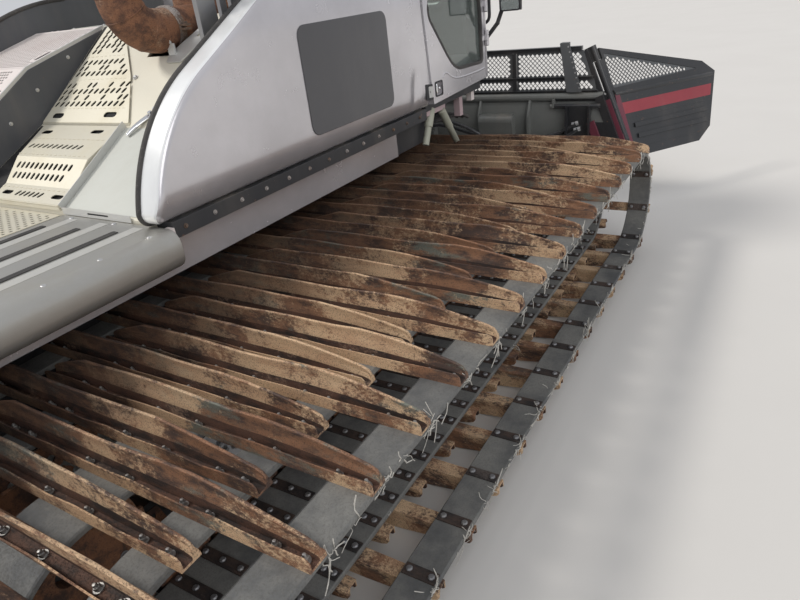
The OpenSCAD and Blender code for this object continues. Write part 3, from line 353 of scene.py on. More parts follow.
# Materials: small builders for shader nodes
class Shader:
    """One node material that reads Object coordinates."""

    def __init__(self, name, rough=0.5, metal=0.0, **sockets):
        self.material = bpy.data.materials.new(name)
        self.material.use_nodes = True
        self.tree = self.material.node_tree
        self.surface = self.tree.nodes["Principled BSDF"]
        self.set(Roughness=rough, Metallic=metal, **sockets)
        self.spot = self.node("ShaderNodeTexCoord").outputs["Object"]
        self.height = None

    def set(self, **sockets):
        """Constant values on the shader's own sockets; an underscore stands for a space."""
        for key, value in sockets.items():
            self.surface.inputs[key.replace("_", " ")].default_value = value

    def node(self, kind, inputs=None, **settings):
        """A new shader node with its settings made and its inputs fed."""
        made = self.tree.nodes.new(kind)
        for key, value in settings.items():
            setattr(made, key, value)
        for key, value in (inputs or {}).items():
            self.feed(made.inputs[key], value)
        return made

    def feed(self, socket, value):
        """Links a socket to another node's output, or gives it a constant value."""
        if isinstance(value, bpy.types.NodeSocket):
            self.tree.links.new(value, socket)
        else:
            socket.default_value = value

    def stretched(self, x, y, z):
        """Object coordinates scaled along each axis."""
        return self.node("ShaderNodeMapping", {"Vector": self.spot, "Scale": (x, y, z)}).outputs[0]

    def noise(self, scale, detail=4.0, rough=0.55, spot=None, warp=0.0):
        """Cloudy values about 0.5, with features of about 1 / scale metres."""
        return self.node("ShaderNodeTexNoise", {"Vector": spot or self.spot, "Scale": scale,
                         "Detail": detail, "Roughness": rough, "Distortion": warp}).outputs[0]

    def between(self, value, low, high):
        """0 below low, 1 above high, and a smooth rise between them."""
        return self.node("ShaderNodeMapRange", {"Value": value, "From Min": low, "From Max": high},
                         interpolation_type="SMOOTHSTEP").outputs[0]

    def maths(self, kind, a, b=0.0):
        """One step of arithmetic on two values."""
        return self.node("ShaderNodeMath", {0: a, 1: b}, operation=kind).outputs[0]

    def times(self, a, b):
        """The product of two values."""
        return self.maths("MULTIPLY", a, b)

    def blend(self, share, a, b):
        """Colour a where the share is 0 and colour b where it is 1."""
        made = self.node("ShaderNodeMix", data_type="RGBA")
        for socket, value in ((made.inputs[0], share), (made.inputs[6], a), (made.inputs[7], b)):
            if isinstance(value, tuple):
                value = value + (1.0,)
            self.feed(socket, value)
        return made.outputs[2]

    def upward(self):
        """1 on faces that look up, 0 on level walls and below."""
        normal = self.node("ShaderNodeTexCoord").outputs["Normal"]
        up = self.node("ShaderNodeSeparateXYZ", {0: normal}).outputs[2]
        return self.between(up, 0.2, 0.95)

    def colour(self, value):
        """The base colour, as a constant or from another node."""
        if isinstance(value, tuple):
            value = value + (1.0,)
        self.feed(self.surface.inputs["Base Color"], value)

    def rough(self, value, low, high):
        """Roughness from low to high as the value goes from 0 to 1."""
        made = self.node("ShaderNodeMapRange", {"Value": value, "To Min": low, "To Max": high})
        self.feed(self.surface.inputs["Roughness"], made.outputs[0])

    def bump(self, value, depth, strength=1.0):
        """Adds relief with a depth in metres."""
        inputs = {"Height": value, "Distance": depth, "Strength": strength}
        if self.height:
            inputs["Normal"] = self.height
        self.height = self.node("ShaderNodeBump", inputs).outputs[0]
        self.feed(self.surface.inputs["Normal"], self.height)


def scaled(colour, factor):
    """A lighter or darker colour, with no channel above 1."""
    return tuple(min(1, channel * factor) for channel in colour)


def painted(name, colour, rough, metal=0.0, chip=(0.2, 0.1, 0.06), chips=0.0, dust=0.3,
            dusty=(0.42, 0.36, 0.29), coat=0.0, orange=0.00004):
    """Machine paint: fine orange peel, dust on upward faces, streaks, and chips where chips > 0."""
    s = Shader(name, rough, metal, Coat_Weight=coat, Coat_Roughness=0.12)
    cloud = s.noise(1.7, 6, 0.62)
    streak = s.noise(5.0, 5, 0.6, s.stretched(1, 1, 0.16))
    base = s.blend(s.between(cloud, 0.3, 0.75), scaled(colour, 0.86),
                   scaled(colour, 1.1))
    cover = s.times(s.maths("ADD", s.upward(), 0.25), s.between(streak, 0.42, 0.8))
    base = s.blend(s.times(cover, dust), base, dusty)
    if chips:
        spots = s.between(s.noise(34, 8, 0.7), 0.72 - chips * 0.12, 0.76 - chips * 0.12)
        base = s.blend(spots, base, chip)
        s.bump(spots, -0.0004)
    s.colour(base)
    s.rough(s.noise(9, 6, 0.65), rough * 0.75, min(1.0, rough * 1.35))
    s.bump(s.noise(900, 2, 0.5), orange)
    return s.material


def rusted(name, deep, rust, worn, worn_share, rough=0.72, moss=None, outward=False):
    """Bare steel that has rusted: dark scale, orange patches, pale worn stretches and pits.

    All patches are drawn out along Y, as on a rolled bar; moss is a greyish scale colour. With
    outward, the stretches near the machine's middle are darkened as painted shade of its body, and
    the pale wear grows with the distance from the middle, partly wear and partly painted sunlight.
    """
    s = Shader(name, rough, 0.2)
    along = s.stretched(1.0, 0.35, 1.0)
    patch = s.noise(16.0, 10, 0.74, along)
    fine = s.noise(110, 8, 0.76, s.stretched(1.0, 0.6, 1.0))
    broad = s.noise(3.1, 5, 0.66)
    base = s.blend(s.between(patch, 0.40, 0.58), deep, rust)
    if moss:
        cover = s.between(s.noise(4.5, 8, 0.74, s.stretched(1.6, 0.5, 1.6)), 0.54, 0.64)
        base = s.blend(cover, base, moss)
    wear_and_painted_sun = s.maths("ADD", broad, s.times(fine, 0.55))
    wear_and_painted_sun = s.between(wear_and_painted_sun, 0.90 - worn_share * 0.3, 1.02 - worn_share * 0.3)
    # Painted light: darker middles stand for the body's shadow and paler outer ends for sunlight
    if outward:
        side = s.node("ShaderNodeSeparateXYZ", {0: s.spot}).outputs[1]
        out = s.between(s.maths("ABSOLUTE", side), 1.0, 1.75)
        wear_and_painted_sun = s.times(wear_and_painted_sun, s.maths("ADD", out, 0.16))
        base = s.blend(s.times(s.maths("SUBTRACT", 1.0, out), 0.55), base, scaled(deep, 0.6))
    tinge = s.between(s.noise(11.0, 9, 0.76, along), 0.46, 0.6)
    mixed = tuple(w * 0.5 + r * 0.75 for w, r in zip(worn, rust))
    worn = s.blend(s.times(tinge, 0.65), worn, mixed)
    base = s.blend(s.maths("MINIMUM", s.times(wear_and_painted_sun, 0.9), 0.92), base, worn)
    streak = s.between(s.noise(90, 4, 0.7, s.stretched(1, 0.08, 1)), 0.56, 0.7)
    base = s.blend(s.times(streak, 0.3), base, scaled(rust, 1.35))
    grit = s.between(s.noise(260, 5, 0.72), 0.52, 0.62)
    base = s.blend(s.times(grit, 0.7), base, scaled(deep, 0.45))
    s.colour(base)
    s.rough(fine, 0.5, 0.92)
    s.bump(fine, 0.0012, 0.8)
    s.bump(grit, -0.0006, 0.8)
    return s.material


def rubbery(name, colour, dust, dusty=(0.34, 0.31, 0.28), scuff=90.0):
    """Rubber: mottled, with pale dust in clouds, fine speckles, faint scuffs and a matt grain."""
    s = Shader(name, 0.75, 0.0, Specular_IOR_Level=0.35)
    cloud = s.between(s.noise(3.3, 7, 0.68), 0.3, 0.65)
    speckle = s.between(s.noise(scuff * 6, 5, 0.75), 0.47, 0.62)
    scuffs = s.between(s.noise(scuff, 4, 0.7, s.stretched(1, 0.3, 1)), 0.55, 0.8)
    base = s.blend(s.times(cloud, dust), colour, dusty)
    base = s.blend(s.times(speckle, 0.5), base, scaled(dusty, 0.5))
    base = s.blend(s.times(scuffs, 0.2), base, scaled(dusty, 1.4))
    s.colour(base)
    s.rough(speckle, 0.62, 0.9)
    s.bump(speckle, 0.0003)
    s.bump(scuffs, 0.0003, 0.5)
    return s.material


def bare_metal(name, colour, rough, way=(1, 40, 40), stain=(0.4, 0.36, 0.28), stained=0.35,
               metal=0.85):
    """Rolled sheet: brushed lines across the way, soft stains, small dark scratches."""
    s = Shader(name, rough, metal)
    lines = s.noise(24, 3, 0.6, s.stretched(*way))
    stains = s.between(s.noise(4.2, 7, 0.7), 0.42, 0.78)
    base = s.blend(lines, scaled(colour, 0.88), colour)
    base = s.blend(s.times(stains, stained), base, stain)
    scratch = s.between(s.noise(60, 6, 0.75, s.stretched(1, 6, 6), 1.2), 0.66, 0.7)
    base = s.blend(s.times(scratch, 0.35), base, scaled(colour, 0.5))
    s.colour(base)
    s.rough(s.maths("ADD", lines, s.times(stains, 0.4)), rough * 0.7, rough * 1.35)
    s.bump(lines, 0.0001, 0.6)
    return s.material


def plastic(name, colour, rough, grain=1200.0):
    """Moulded plastic with a fine grain and a little dust."""
    s = Shader(name, rough, 0.0)
    dust = s.between(s.noise(7, 6, 0.7), 0.5, 0.85)
    s.colour(s.blend(s.times(dust, 0.22), colour, (0.36, 0.33, 0.3)))
    s.rough(dust, rough, min(1, rough + 0.25))
    s.bump(s.noise(grain, 2, 0.5), 0.00006)
    return s.material


def clear(name, tint, rough=0.02):
    """Tinted pane with a little dust, seen through."""
    s = Shader(name, rough, 0.0, Transmission_Weight=0.92, IOR=1.45)
    dust = s.between(s.noise(5, 6, 0.7), 0.45, 0.9)
    s.colour(s.blend(s.times(dust, 0.25), tint, (0.7, 0.68, 0.63)))
    s.rough(dust, rough, 0.16)
    return s.material


def woven(name, colour):
    """Seat cloth: two crossed waves of threads, mottled."""
    s = Shader(name, 0.9, 0.0, Sheen_Weight=0.3)
    waves = [s.node("ShaderNodeTexWave", {"Vector": s.spot, "Scale": 140.0, "Distortion": 0.6},
                    bands_direction=way).outputs[1] for way in ("Y", "Z")]
    thread = s.maths("MAXIMUM", *waves)
    s.colour(s.blend(s.noise(30, 5, 0.6), scaled(colour, 0.6), colour))
    s.bump(thread, 0.0005)
    return s.material


black_paint = painted("satin_black_paint", (0.035, 0.036, 0.04), 0.42, chips=0.5, dust=0.35)
blade_paint = painted("worn_blade_paint", (0.03, 0.031, 0.034), 0.33, chips=0.7, dust=0.28, coat=0.2)
silver_paint = painted("silver_metallic_paint", (0.62, 0.6, 0.62), 0.24, metal=0.55, dust=0.1,
                       dusty=(0.62, 0.56, 0.5), coat=0.7, orange=0.00002)
# The pods' edge band: silver made lighter than the face as painted highlight
rim_highlight = painted("silver_edge_painted_highlight", (0.83, 0.84, 0.84), 0.3, metal=0.25, dust=0.1, coat=0.3)
red_paint = painted("faded_red_stripe", (0.33, 0.045, 0.06), 0.4, chips=0.5, dust=0.25)
dark_panel = painted("dark_smoked_panel", (0.05, 0.05, 0.058), 0.2, dust=0.12, coat=0.5)
# The bars' rust darkens towards the middle as painted shade and pales towards the ends as painted sunlight
bar_steel = rusted("rusty_bar_steel_painted_shade", (0.085, 0.055, 0.045), (0.30, 0.155, 0.088), (0.68, 0.48, 0.30), 0.55,
                   moss=(0.17, 0.18, 0.15), outward=True)
# Trough rust: its darker colour is painted shade in the bars' troughs
trough_painted_shade = rusted("trough_rust_painted_shade", (0.035, 0.025, 0.022), (0.12, 0.06, 0.04), (0.3, 0.2, 0.14),
                      0.12)
guide_steel = rusted("rusty_guides", (0.07, 0.04, 0.03), (0.22, 0.1, 0.05), (0.3, 0.2, 0.13), 0.2)
plate_steel = rusted("dark_backing_plates", (0.03, 0.026, 0.026), (0.075, 0.05, 0.04),
                     (0.12, 0.1, 0.09), 0.2)
pipe_steel = rusted("rusty_exhaust", (0.12, 0.06, 0.04), (0.28, 0.13, 0.07), (0.4, 0.27, 0.18), 0.25)
belt_rubber = rubbery("dusty_belt_rubber", (0.085, 0.088, 0.092), 0.75, (0.25, 0.245, 0.225), 30.0)
tyre_rubber = rubbery("tyre_rubber", (0.02, 0.02, 0.022), 0.4)
comb_rubber = rubbery("comb_rubber", (0.022, 0.022, 0.024), 0.3)
zinc = bare_metal("zinc_bolts", (0.62, 0.62, 0.62), 0.38, stained=0.3)
aluminium = bare_metal("sheet_aluminium", (0.72, 0.71, 0.67), 0.42, stained=0.25, metal=0.6)
tread_aluminium = bare_metal("tread_aluminium", (0.76, 0.72, 0.6), 0.5,
                             stain=(0.55, 0.48, 0.3), stained=0.35, metal=0.35)
deck_aluminium = bare_metal("brushed_deck", (0.5, 0.49, 0.46), 0.4, stained=0.3, metal=0.75)
shield_metal = bare_metal("heat_shield_sheet", (0.36, 0.36, 0.37), 0.45, stained=0.3)
chrome_rod = bare_metal("chrome_rods", (0.78, 0.78, 0.79), 0.12, stained=0.1, metal=1.0)
rotor_steel = rusted("worn_rotor_steel", (0.1, 0.08, 0.07), (0.2, 0.13, 0.09), (0.45, 0.42, 0.4), 0.6)
rim_paint = painted("dusty_rim_paint", (0.4, 0.4, 0.41), 0.45, chips=0.6, dust=0.6)
black_plastic = plastic("black_plastic", (0.025, 0.025, 0.028), 0.5)
lamp_plastic = plastic("lamp_housing", (0.03, 0.03, 0.032), 0.3)
amber_lens = plastic("amber_lens", (0.85, 0.28, 0.02), 0.15)
shiny_hose = plastic("shiny_hose", (0.05, 0.05, 0.052), 0.22)
hose_rubber = rubbery("hose_rubber", (0.02, 0.02, 0.022), 0.15)
cream_sheet = bare_metal("cream_sheet", (0.78, 0.74, 0.62), 0.5, (1, 30, 6), (0.7, 0.66, 0.55), 0.5, 0.2)
pale_sheet = bare_metal("pale_grey_sheet", (0.64, 0.65, 0.60), 0.5, (1, 30, 6), (0.5, 0.49, 0.43), 0.4, 0.3)
pale_aluminium = bare_metal("pale_aluminium", (0.66, 0.66, 0.64), 0.42, stained=0.3, metal=0.45)
grip_pale = bare_metal("pale_grip_mesh", (0.8, 0.73, 0.7), 0.6, stain=(0.55, 0.44, 0.4), stained=0.4,
                       metal=0.1)
inner_grey = painted("dark_grey_inner", (0.085, 0.088, 0.095), 0.55, chips=0.3, dust=0.4)
grip_black = rubbery("grip_strip", (0.02, 0.02, 0.022), 0.3, (0.2, 0.19, 0.17))
# Black sheets laid under holes, slots and gaps: painted shadow
shadow_black = plastic("black_painted_shadow", (0.012, 0.012, 0.013), 0.8)
screen_grey = painted("grey_screen_paint", (0.11, 0.115, 0.12), 0.45, chips=0.5, dust=0.4)
dull_zinc = bare_metal("dull_zinc", (0.3, 0.3, 0.31), 0.5, stained=0.4)
mirror_glass = bare_metal("mirror_glass", (0.75, 0.77, 0.78), 0.06, stained=0.05, metal=1.0)
lamp_glass = clear("lamp_glass", (0.9, 0.92, 0.93), 0.03)
maroon_paint = painted("maroon_hinge_paint", (0.16, 0.035, 0.055), 0.4, chips=0.4, dust=0.25)
# The blade board's grey, lighter than the blade's black paint, is a painted sunlit sheen
board_painted_sheen = painted("board_paint_painted_sheen", (0.17, 0.175, 0.165), 0.3, chips=0.3, dust=0.35)
bolt_steel = bare_metal("bolt_steel", (0.4, 0.39, 0.38), 0.45, stained=0.4)
# Pale grey paint whose pink tint is painted reflection
pink_reflection_paint = painted("pale_paint_pink_painted_reflection", (0.5, 0.38, 0.39), 0.6, chips=0.3, dust=0.2)
olive_paint = painted("olive_cream_paint", (0.42, 0.42, 0.34), 0.5, chips=0.4, dust=0.3)
glass = clear("tinted_glass", (0.72, 0.8, 0.76))
seat_cloth = woven("seat_cloth", (0.07, 0.07, 0.078))
engine_iron = painted("engine_iron", (0.1, 0.1, 0.105), 0.6, metal=0.3, dust=0.5)
cord_white = rubbery("frayed_cord", (0.62, 0.6, 0.55), 0.2, (0.5, 0.45, 0.38))


# Track loop, in the CAD's measures
PITCH, BARS = 0.116, 72
LOOP = PITCH * BARS
BELT_R, BELT_T, BAR_H = 0.28, 0.02, 0.1
WRAP = math.pi * BELT_R
RUN = LOOP / 2 - WRAP
SPROCKET_BACK = 0.15
SPROCKET_X = LONG_BAR - SPROCKET_BACK
AXLE_Z = BAR_H + BELT_T / 2 + BELT_R
BELTS = [(0.64, 0.76), (1.0, 1.13), (1.355, 1.56), (1.715, 1.845), (2.0, 2.125)]
BAR_STRIPS = 18
LONG_SPAN, SHORT_SPAN = (0.84, 2.13), (0.53, 1.88)
WHEEL_Y = 1.2425


def loop_at(s, out=0.0):
    """Places on the track loop and turns there, at lengths s forward from the long bar.

    On the two straight runs the outward way is up or down; on a wrap it turns with s / radius.
    The turn's columns are the way forward, +Y and the way outward.
    """
    u = (np.asarray(s, float) + SPROCKET_BACK) % LOOP
    front = np.clip(u - RUN, 0, WRAP) / BELT_R
    back = np.clip(u - 2 * RUN - WRAP, 0, WRAP) / BELT_R
    angle = front + back
    along = np.clip(u, 0, RUN) - np.clip(u - RUN - WRAP, 0, RUN)
    normal = np.stack([np.sin(angle), 0 * u, np.cos(angle)], -1)
    forward = np.stack([np.cos(angle), 0 * u, -np.sin(angle)], -1)
    centre = np.stack([SPROCKET_X + along, 0 * u, AXLE_Z + 0 * u], -1)
    across = np.broadcast_to(np.array([0.0, 1.0, 0.0]), normal.shape)
    turns = np.stack([forward, across, normal], -1)
    return centre + normal * (BELT_R + out), turns


def bar_shape(span, dents):
    """One grouser: a lip behind, an open trough for the bolts and a hollow-faced fin in front.

    The section is carried along Y; the fin's height eases up from the inner end and falls
    towards the outer end, and a low wave dents its upper edge.
    """
    y = np.concatenate([span[0] + np.array([0, 0.012, 0.06, 0.12, 0.19]),
                        np.linspace(span[0] + 0.3, span[1] - 0.46, 7),
                        span[1] - np.array([0.36, 0.27, 0.18, 0.09, 0.03, 0.008, 0])])
    rise = np.clip((y - span[0]) / 0.2, 0, 1)
    fall = np.clip((span[1] - y) / 0.4, 0, 1)
    fin = 0.034 + (BAR_H - 0.034) * np.minimum(rise ** 0.8, 1)
    fin = np.minimum(fin, 0.05 + (BAR_H - 0.05) * np.sin(fall * math.pi / 2))
    fin[-3:] -= (0.001, 0.006, 0.016)
    lean = 0.004 * np.sin(y * dents[0] + dents[1]) * np.clip(fin / BAR_H, 0, 1)
    fin = fin - 0.0025 * (1 + np.sin(y * dents[2] + dents[3])) * (rise >= 1) * (fall >= 1)
    lip = 0.038 + 0.0015 * np.sin(y * dents[2] * 1.7 + dents[1])
    lip[[0, -1]] -= 0.008
    nudge = 0.002 * np.sin(y * dents[0] * 2.3 + dents[3])
    section = np.stack([np.stack(np.broadcast_arrays(*p), -1) for p in (
        (-0.028 + 0 * y, 0.0003), (0.0275 + 0 * y, 0.0003),
        (0.0272 + 0 * y, 0.009), (0.023 + 0 * y, 0.022),
        (0.0165 + lean, fin * 0.5), (0.0150 + lean, fin - 0.016), (0.0178 + lean, fin - 0.009),
        (0.0165 + lean, fin - 0.002), (0.0125 + lean, fin), (0.0085 + lean, fin - 0.003),
        (0.0080 + lean, fin - 0.009), (0.0105 + lean, fin - 0.016), (0.0085 + lean * 0.5, fin * 0.6),
        (0.0055 + 0 * y, fin * 0.40), (0.0045 + 0 * y, 0.0075), (-0.0215 + 0 * y, 0.0065),
        (-0.0238 + nudge, lip), (-0.0282 + nudge, lip + 0.0005))], 1)
    path = np.stack([0 * y, y, 0 * y], -1)
    return carried(section, path)


def dome(radius, height, steps=8):
    """A low domed head with its foot at 0, turned about Z."""
    ring = circle(radius, steps)
    levels = ((1.0, 0.0), (1.0, 0.35), (0.72, 0.85))
    points = [np.column_stack([ring * k, np.full(steps, h * height)]) for k, h in levels]
    walls = sheet_faces(3, steps, False, True)[:, ::-1]
    top = np.stack([np.arange(steps), np.roll(np.arange(steps), -1)], -1) + 2 * steps
    fan = np.column_stack([top, np.full(steps, 3 * steps)])
    return Shape(np.concatenate(points + [[[0, 0, height]]]), walls, fan, np.arange(steps)[::-1][None])


def hexagon(radius, height, washer=0.0):
    """A hexagon head with a chamfered top on a round washer, turned about Z."""
    ring = circle(radius, 6)
    levels = ((1.0, 0.0), (1.0, 0.8), (0.86, 1.0))
    points = [np.column_stack([ring * k, np.full(6, washer + h * height)]) for k, h in levels]
    head = Shape(np.concatenate(points), sheet_faces(3, 6, False, True)[:, ::-1],
                 (np.arange(6) + 12)[None], np.arange(6)[::-1][None])
    if not washer:
        return head
    ring = circle(radius * 1.45, 12)
    points = [np.column_stack([ring, np.full(12, h)]) for h in (0, washer)]
    flat = Shape(np.concatenate(points), sheet_faces(2, 12, False, True)[:, ::-1],
                 (np.arange(12) + 12)[None], np.arange(12)[::-1][None])
    return joined(flat, head)


def track_bars():
    """All grousers of the left track: long and short ones take turns, each with its own dents."""
    parts = []
    for first, span in ((0, LONG_SPAN), (1, SHORT_SPAN)):
        for kind in range(4):
            spots = np.arange(first + 2 * kind, BARS, 8) * PITCH
            dents = chance.uniform((5, 0, 9, 0), (11, 6, 19, 6))
            places, turns = loop_at(spots, BELT_T / 2)
            parts.append(bar_shape(span, dents).repeated(places, turns))
    return joined(*parts)


def shade_troughs(piece):
    """The faces of each bar's trough take the second material, a dark rust whose darkness is painted shade:
    three of the eighteen strips.
    """
    mesh = piece.data
    mesh.materials.append(trough_painted_shade)
    sizes = np.empty(len(mesh.polygons), np.int32)
    mesh.polygons.foreach_get("loop_total", sizes)
    quads = np.flatnonzero(sizes == 4)
    strip = np.arange(len(quads)) % BAR_STRIPS
    kinds = np.zeros(len(mesh.polygons), np.int32)
    kinds[quads[(strip >= 13) & (strip <= 15)]] = 1
    mesh.polygons.foreach_set("material_index", kinds)


def track_belts():
    """Five belts with rounded edges: a flat section carried round the loop."""
    s = np.concatenate([np.linspace(-SPROCKET_BACK, RUN - SPROCKET_BACK, 37)[:-1],
                        np.linspace(RUN - SPROCKET_BACK, RUN + WRAP - SPROCKET_BACK, 33)[:-1]])
    s = np.concatenate([s, s + LOOP / 2])
    places, turns = loop_at(s)
    parts = []
    for y0, y1 in BELTS:
        t, e = BELT_T / 2, 0.004
        section = np.array([(y0 + e, -t), (y1 - e, -t), (y1, e - t), (y1, t - e), (y1 - e, t),
                            (y0 + e, t), (y0, t - e), (y0, e - t)])
        p = places[:, None] + section[None, :, 1:2] * turns[:, None, :, 2]
        p[..., 1] = section[None, :, 0]
        parts.append(surface(p, True, True, flip=True))
    return joined(*parts)


def belt_bolts():
    """Backing plates inside the belts with domed bolts, and hexagon heads in the bars' troughs."""
    plates, inside, outside = [], [], []
    for first, span in ((0, LONG_SPAN), (1, SHORT_SPAN)):
        places, turns = loop_at(np.arange(first, BARS, 2) * PITCH)
        for number, (y0, y1) in enumerate(BELTS):
            if y0 < span[0] or y1 > span[1]:
                continue
            under = -BELT_T / 2 - 0.0002
            plates.append(boxes((-0.021, 0.021, y0 + 0.006, y1 - 0.006, under - 0.005,
                                 under)).repeated(places, turns))
            count = 2 if number in (0, 4) else 3
            for y in np.linspace(y0 + 0.024, y1 - 0.024, count):
                head = dome(0.0115, 0.008).moved(turn=np.diag([1, -1, -1]))
                inside.append(head.moved((0, y, under - 0.005)).repeated(places, turns))
            for y in (y0 + 0.022, y1 - 0.022):
                head = joined(hexagon(0.0088, 0.010, 0.003), dome(0.0058, 0.009).moved((0, 0, 0.013)))
                outside.append(head.moved((-0.0085, y, BELT_T / 2 + 0.007)).repeated(places, turns))
    return joined(*plates), joined(*inside), joined(*outside)


def frayed_cords(spots, y, low, high):
    """Loose cord ends at a belt's edge: each strand is p = start + t way + t^2 curl, with a wave."""
    strands = []
    t = np.linspace(0, 1, 6)[:, None]
    for s in spots:
        places, turns = loop_at(s, chance.uniform(-0.008, 0.006))
        for _ in range(chance.integers(low, high)):
            way = turns @ chance.uniform((-0.9, 0.2, -0.9), (0.9, 1.0, 0.8))
            curl = turns @ chance.normal(0, 0.022, 3)
            size = chance.uniform(0.012, 0.045)
            start = places + (0, y, 0) + turns @ (chance.uniform(-0.03, 0.03), 0, 0)
            side = np.cross(way, curl)
            wave = np.sin(t * chance.uniform(4, 9)) * side / (np.linalg.norm(side) + 1e-9) * 0.005
            path = start + t * way * size + t ** 2 * curl + wave
            path[:, 1] = np.minimum(path[:, 1], 2.128)
            strands.append(tube(path, chance.uniform(0.0008, 0.0019), 4, up=(0.2, 0.1, 1)))
    return joined(*strands)


def tyre_guides():
    """Upright plates with a hole on both sides of the tyres' way, one pair on each bar."""
    plate = slab(rounded([(-0.05, 0), (0.05, 0), (0.028, 0.085), (-0.028, 0.085)], 0.012, 2),
                 [circle(0.013, 8) + (0, 0.05)], 0.005)
    places, turns = loop_at(np.arange(BARS) * PITCH)
    pair = [plate.moved((0, WHEEL_Y + gap, -0.012), np.array([[1, 0, 0], [0, 0, 1], [0, -1, 0]]))
            for gap in (-0.106, 0.111)]
    return joined(*pair).repeated(places, turns)


def joint_plate(s):
    """The clip where the outermost belt's ends meet: two pressed strips with three bolts each."""
    places, turns = loop_at([s])
    y0, y1 = BELTS[4]
    strips = boxes(*[(a, a + 0.03, y0 + 0.004, y1 - 0.004, 0.0102, 0.0142) for a in (-0.034, 0.004)])
    heads = [hexagon(0.008, 0.008, 0.002).moved((a, y, 0.0142))
             for a in (-0.019, 0.019) for y in row(y0 + 0.025, y1 - 0.025, 3)]
    return joined(strips, *heads).repeated(places, turns)


bars, belts, guides = track_bars(), track_belts(), tyre_guides()
plates, inner_bolts, bolts = belt_bolts()
bolts = joined(bolts, joint_plate(49.5 * PITCH))
edge_spots = np.arange(0, BARS, 2) * PITCH + 0.03
frays = joined(frayed_cords(edge_spots, 2.122, 9, 20), frayed_cords(edge_spots + 0.09, 2.122, 2, 5),
               frayed_cords(edge_spots[3::5] + 0.05, 1.842, 1, 4))
for side, on in SIDES:
    shade_troughs(add_piece("bars_" + side + "_steel", on(bars), "chassis", bar_steel, 40,
                            replaces=["bars_" + side]))
    add_piece("belts_" + side + "_rubber", on(belts), "chassis", belt_rubber, 40,
              replaces=["belts_" + side])
    add_piece("belt_plates_" + side, on(plates), "chassis", plate_steel, 30)
    add_piece("belt_bolts_" + side, on(bolts), "chassis", bolt_steel, 30)
    add_piece("plate_bolts_" + side, on(inner_bolts), "chassis", dull_zinc, 30)
    add_piece("tyre_guides_" + side, on(guides), "chassis", guide_steel, 30)
    add_piece("frayed_cords_" + side, on(frays), "chassis", cord_white, 60)


def prism(outline, y0, y1, holes=()):
    """An outline in X and Z, carried along Y."""
    return laid(slab(outline, holes, y1 - y0), (0, y0, 0), (1, 0, 0), (0, 0, 1))


def spool(start, way, spots, radii, steps=24):
    """A round piece along a line: the circle's radius changes from spot to spot."""
    path = np.asarray(start, float) + np.asarray(spots, float)[:, None] * np.asarray(way, float)
    up = (0, 0, 1) if abs(way[2]) < 0.9 else (1, 0, 0)
    return carried(np.array([circle(r, steps) for r in radii]), path, up)


def oval(x, y, length, width, degrees=0.0):
    """A hole with round ends, its length turned from X."""
    half = max(length - width, 0) / 2
    ends = [arc((half, 0), width / 2, -90, 90, 4), arc((-half, 0), width / 2, 90, 270, 4)]
    turn = spin("Z", degrees)[:2, :2]
    return np.concatenate(ends) @ turn.T + (x, y)


# Pods: shells whose face swells out from a rounded edge
FACE_Y, POD_IN = 1.05, 0.94
POD_EDGE = 0.022


def pod_outline():
    """The pod from the side: crest arc, shoulder, rear arc, rounded foot and the front edge."""
    slope, rear, rear_radius, crest_radius = 28.5, (1.313, 0.927), 0.688, 1.2
    rise = np.array([math.cos(math.radians(slope)), math.sin(math.radians(slope))])
    square = np.array([-rise[1], rise[0]])
    crest = rear + rear_radius * square + 0.36 * rise - crest_radius * square
    return np.concatenate([arc(crest, crest_radius, 90, 90 + slope, 12),
                           arc(rear, rear_radius, 90 + slope, 165, 26),
                           arc((0.6884, 1.102), 0.04, 180, 270, 6),
                           [(1.4, 1.062), (2.2, 1.062), (2.6332, 1.062), (2.615, 1.3), (2.592, 1.56),
                            (2.592, 1.7), (2.592, crest[1] + crest_radius)]])


def pod_face_y(x, z):
    """How far out the pod's face is: flat, turned in below and leaning in above.

    Below z = 1.172 it follows a circle of radius 0.16 about (0.89, 1.172), and above 1.6 a
    parabola. A long low pillow is pressed in near the door, and there are three shallow dents.
    """
    y = np.full_like(x, FACE_Y)
    low = np.clip(1.172 - z, 0, 0.159)
    y = y - (0.16 - np.sqrt(0.16 ** 2 - low ** 2))
    y = y - 0.56 * np.clip(z - 1.6, 0, 1) ** 2
    along = (z - 1.193) / 0.12
    across = (x - 2.445 - 0.2 * (z - 1.19)) / 0.05
    y = y - 0.009 * np.clip(1 - along ** 2 - across ** 2, 0, 1) ** 1.4
    for px, pz, size, deep in ((0.986, 1.304, 0.035, 0.0022), (1.198, 1.401, 0.045, 0.0016),
                               (2.302, 1.376, 0.03, 0.0014)):
        y = y - deep * np.exp(-((x - px) ** 2 + (z - pz) ** 2) / size ** 2)
    return y


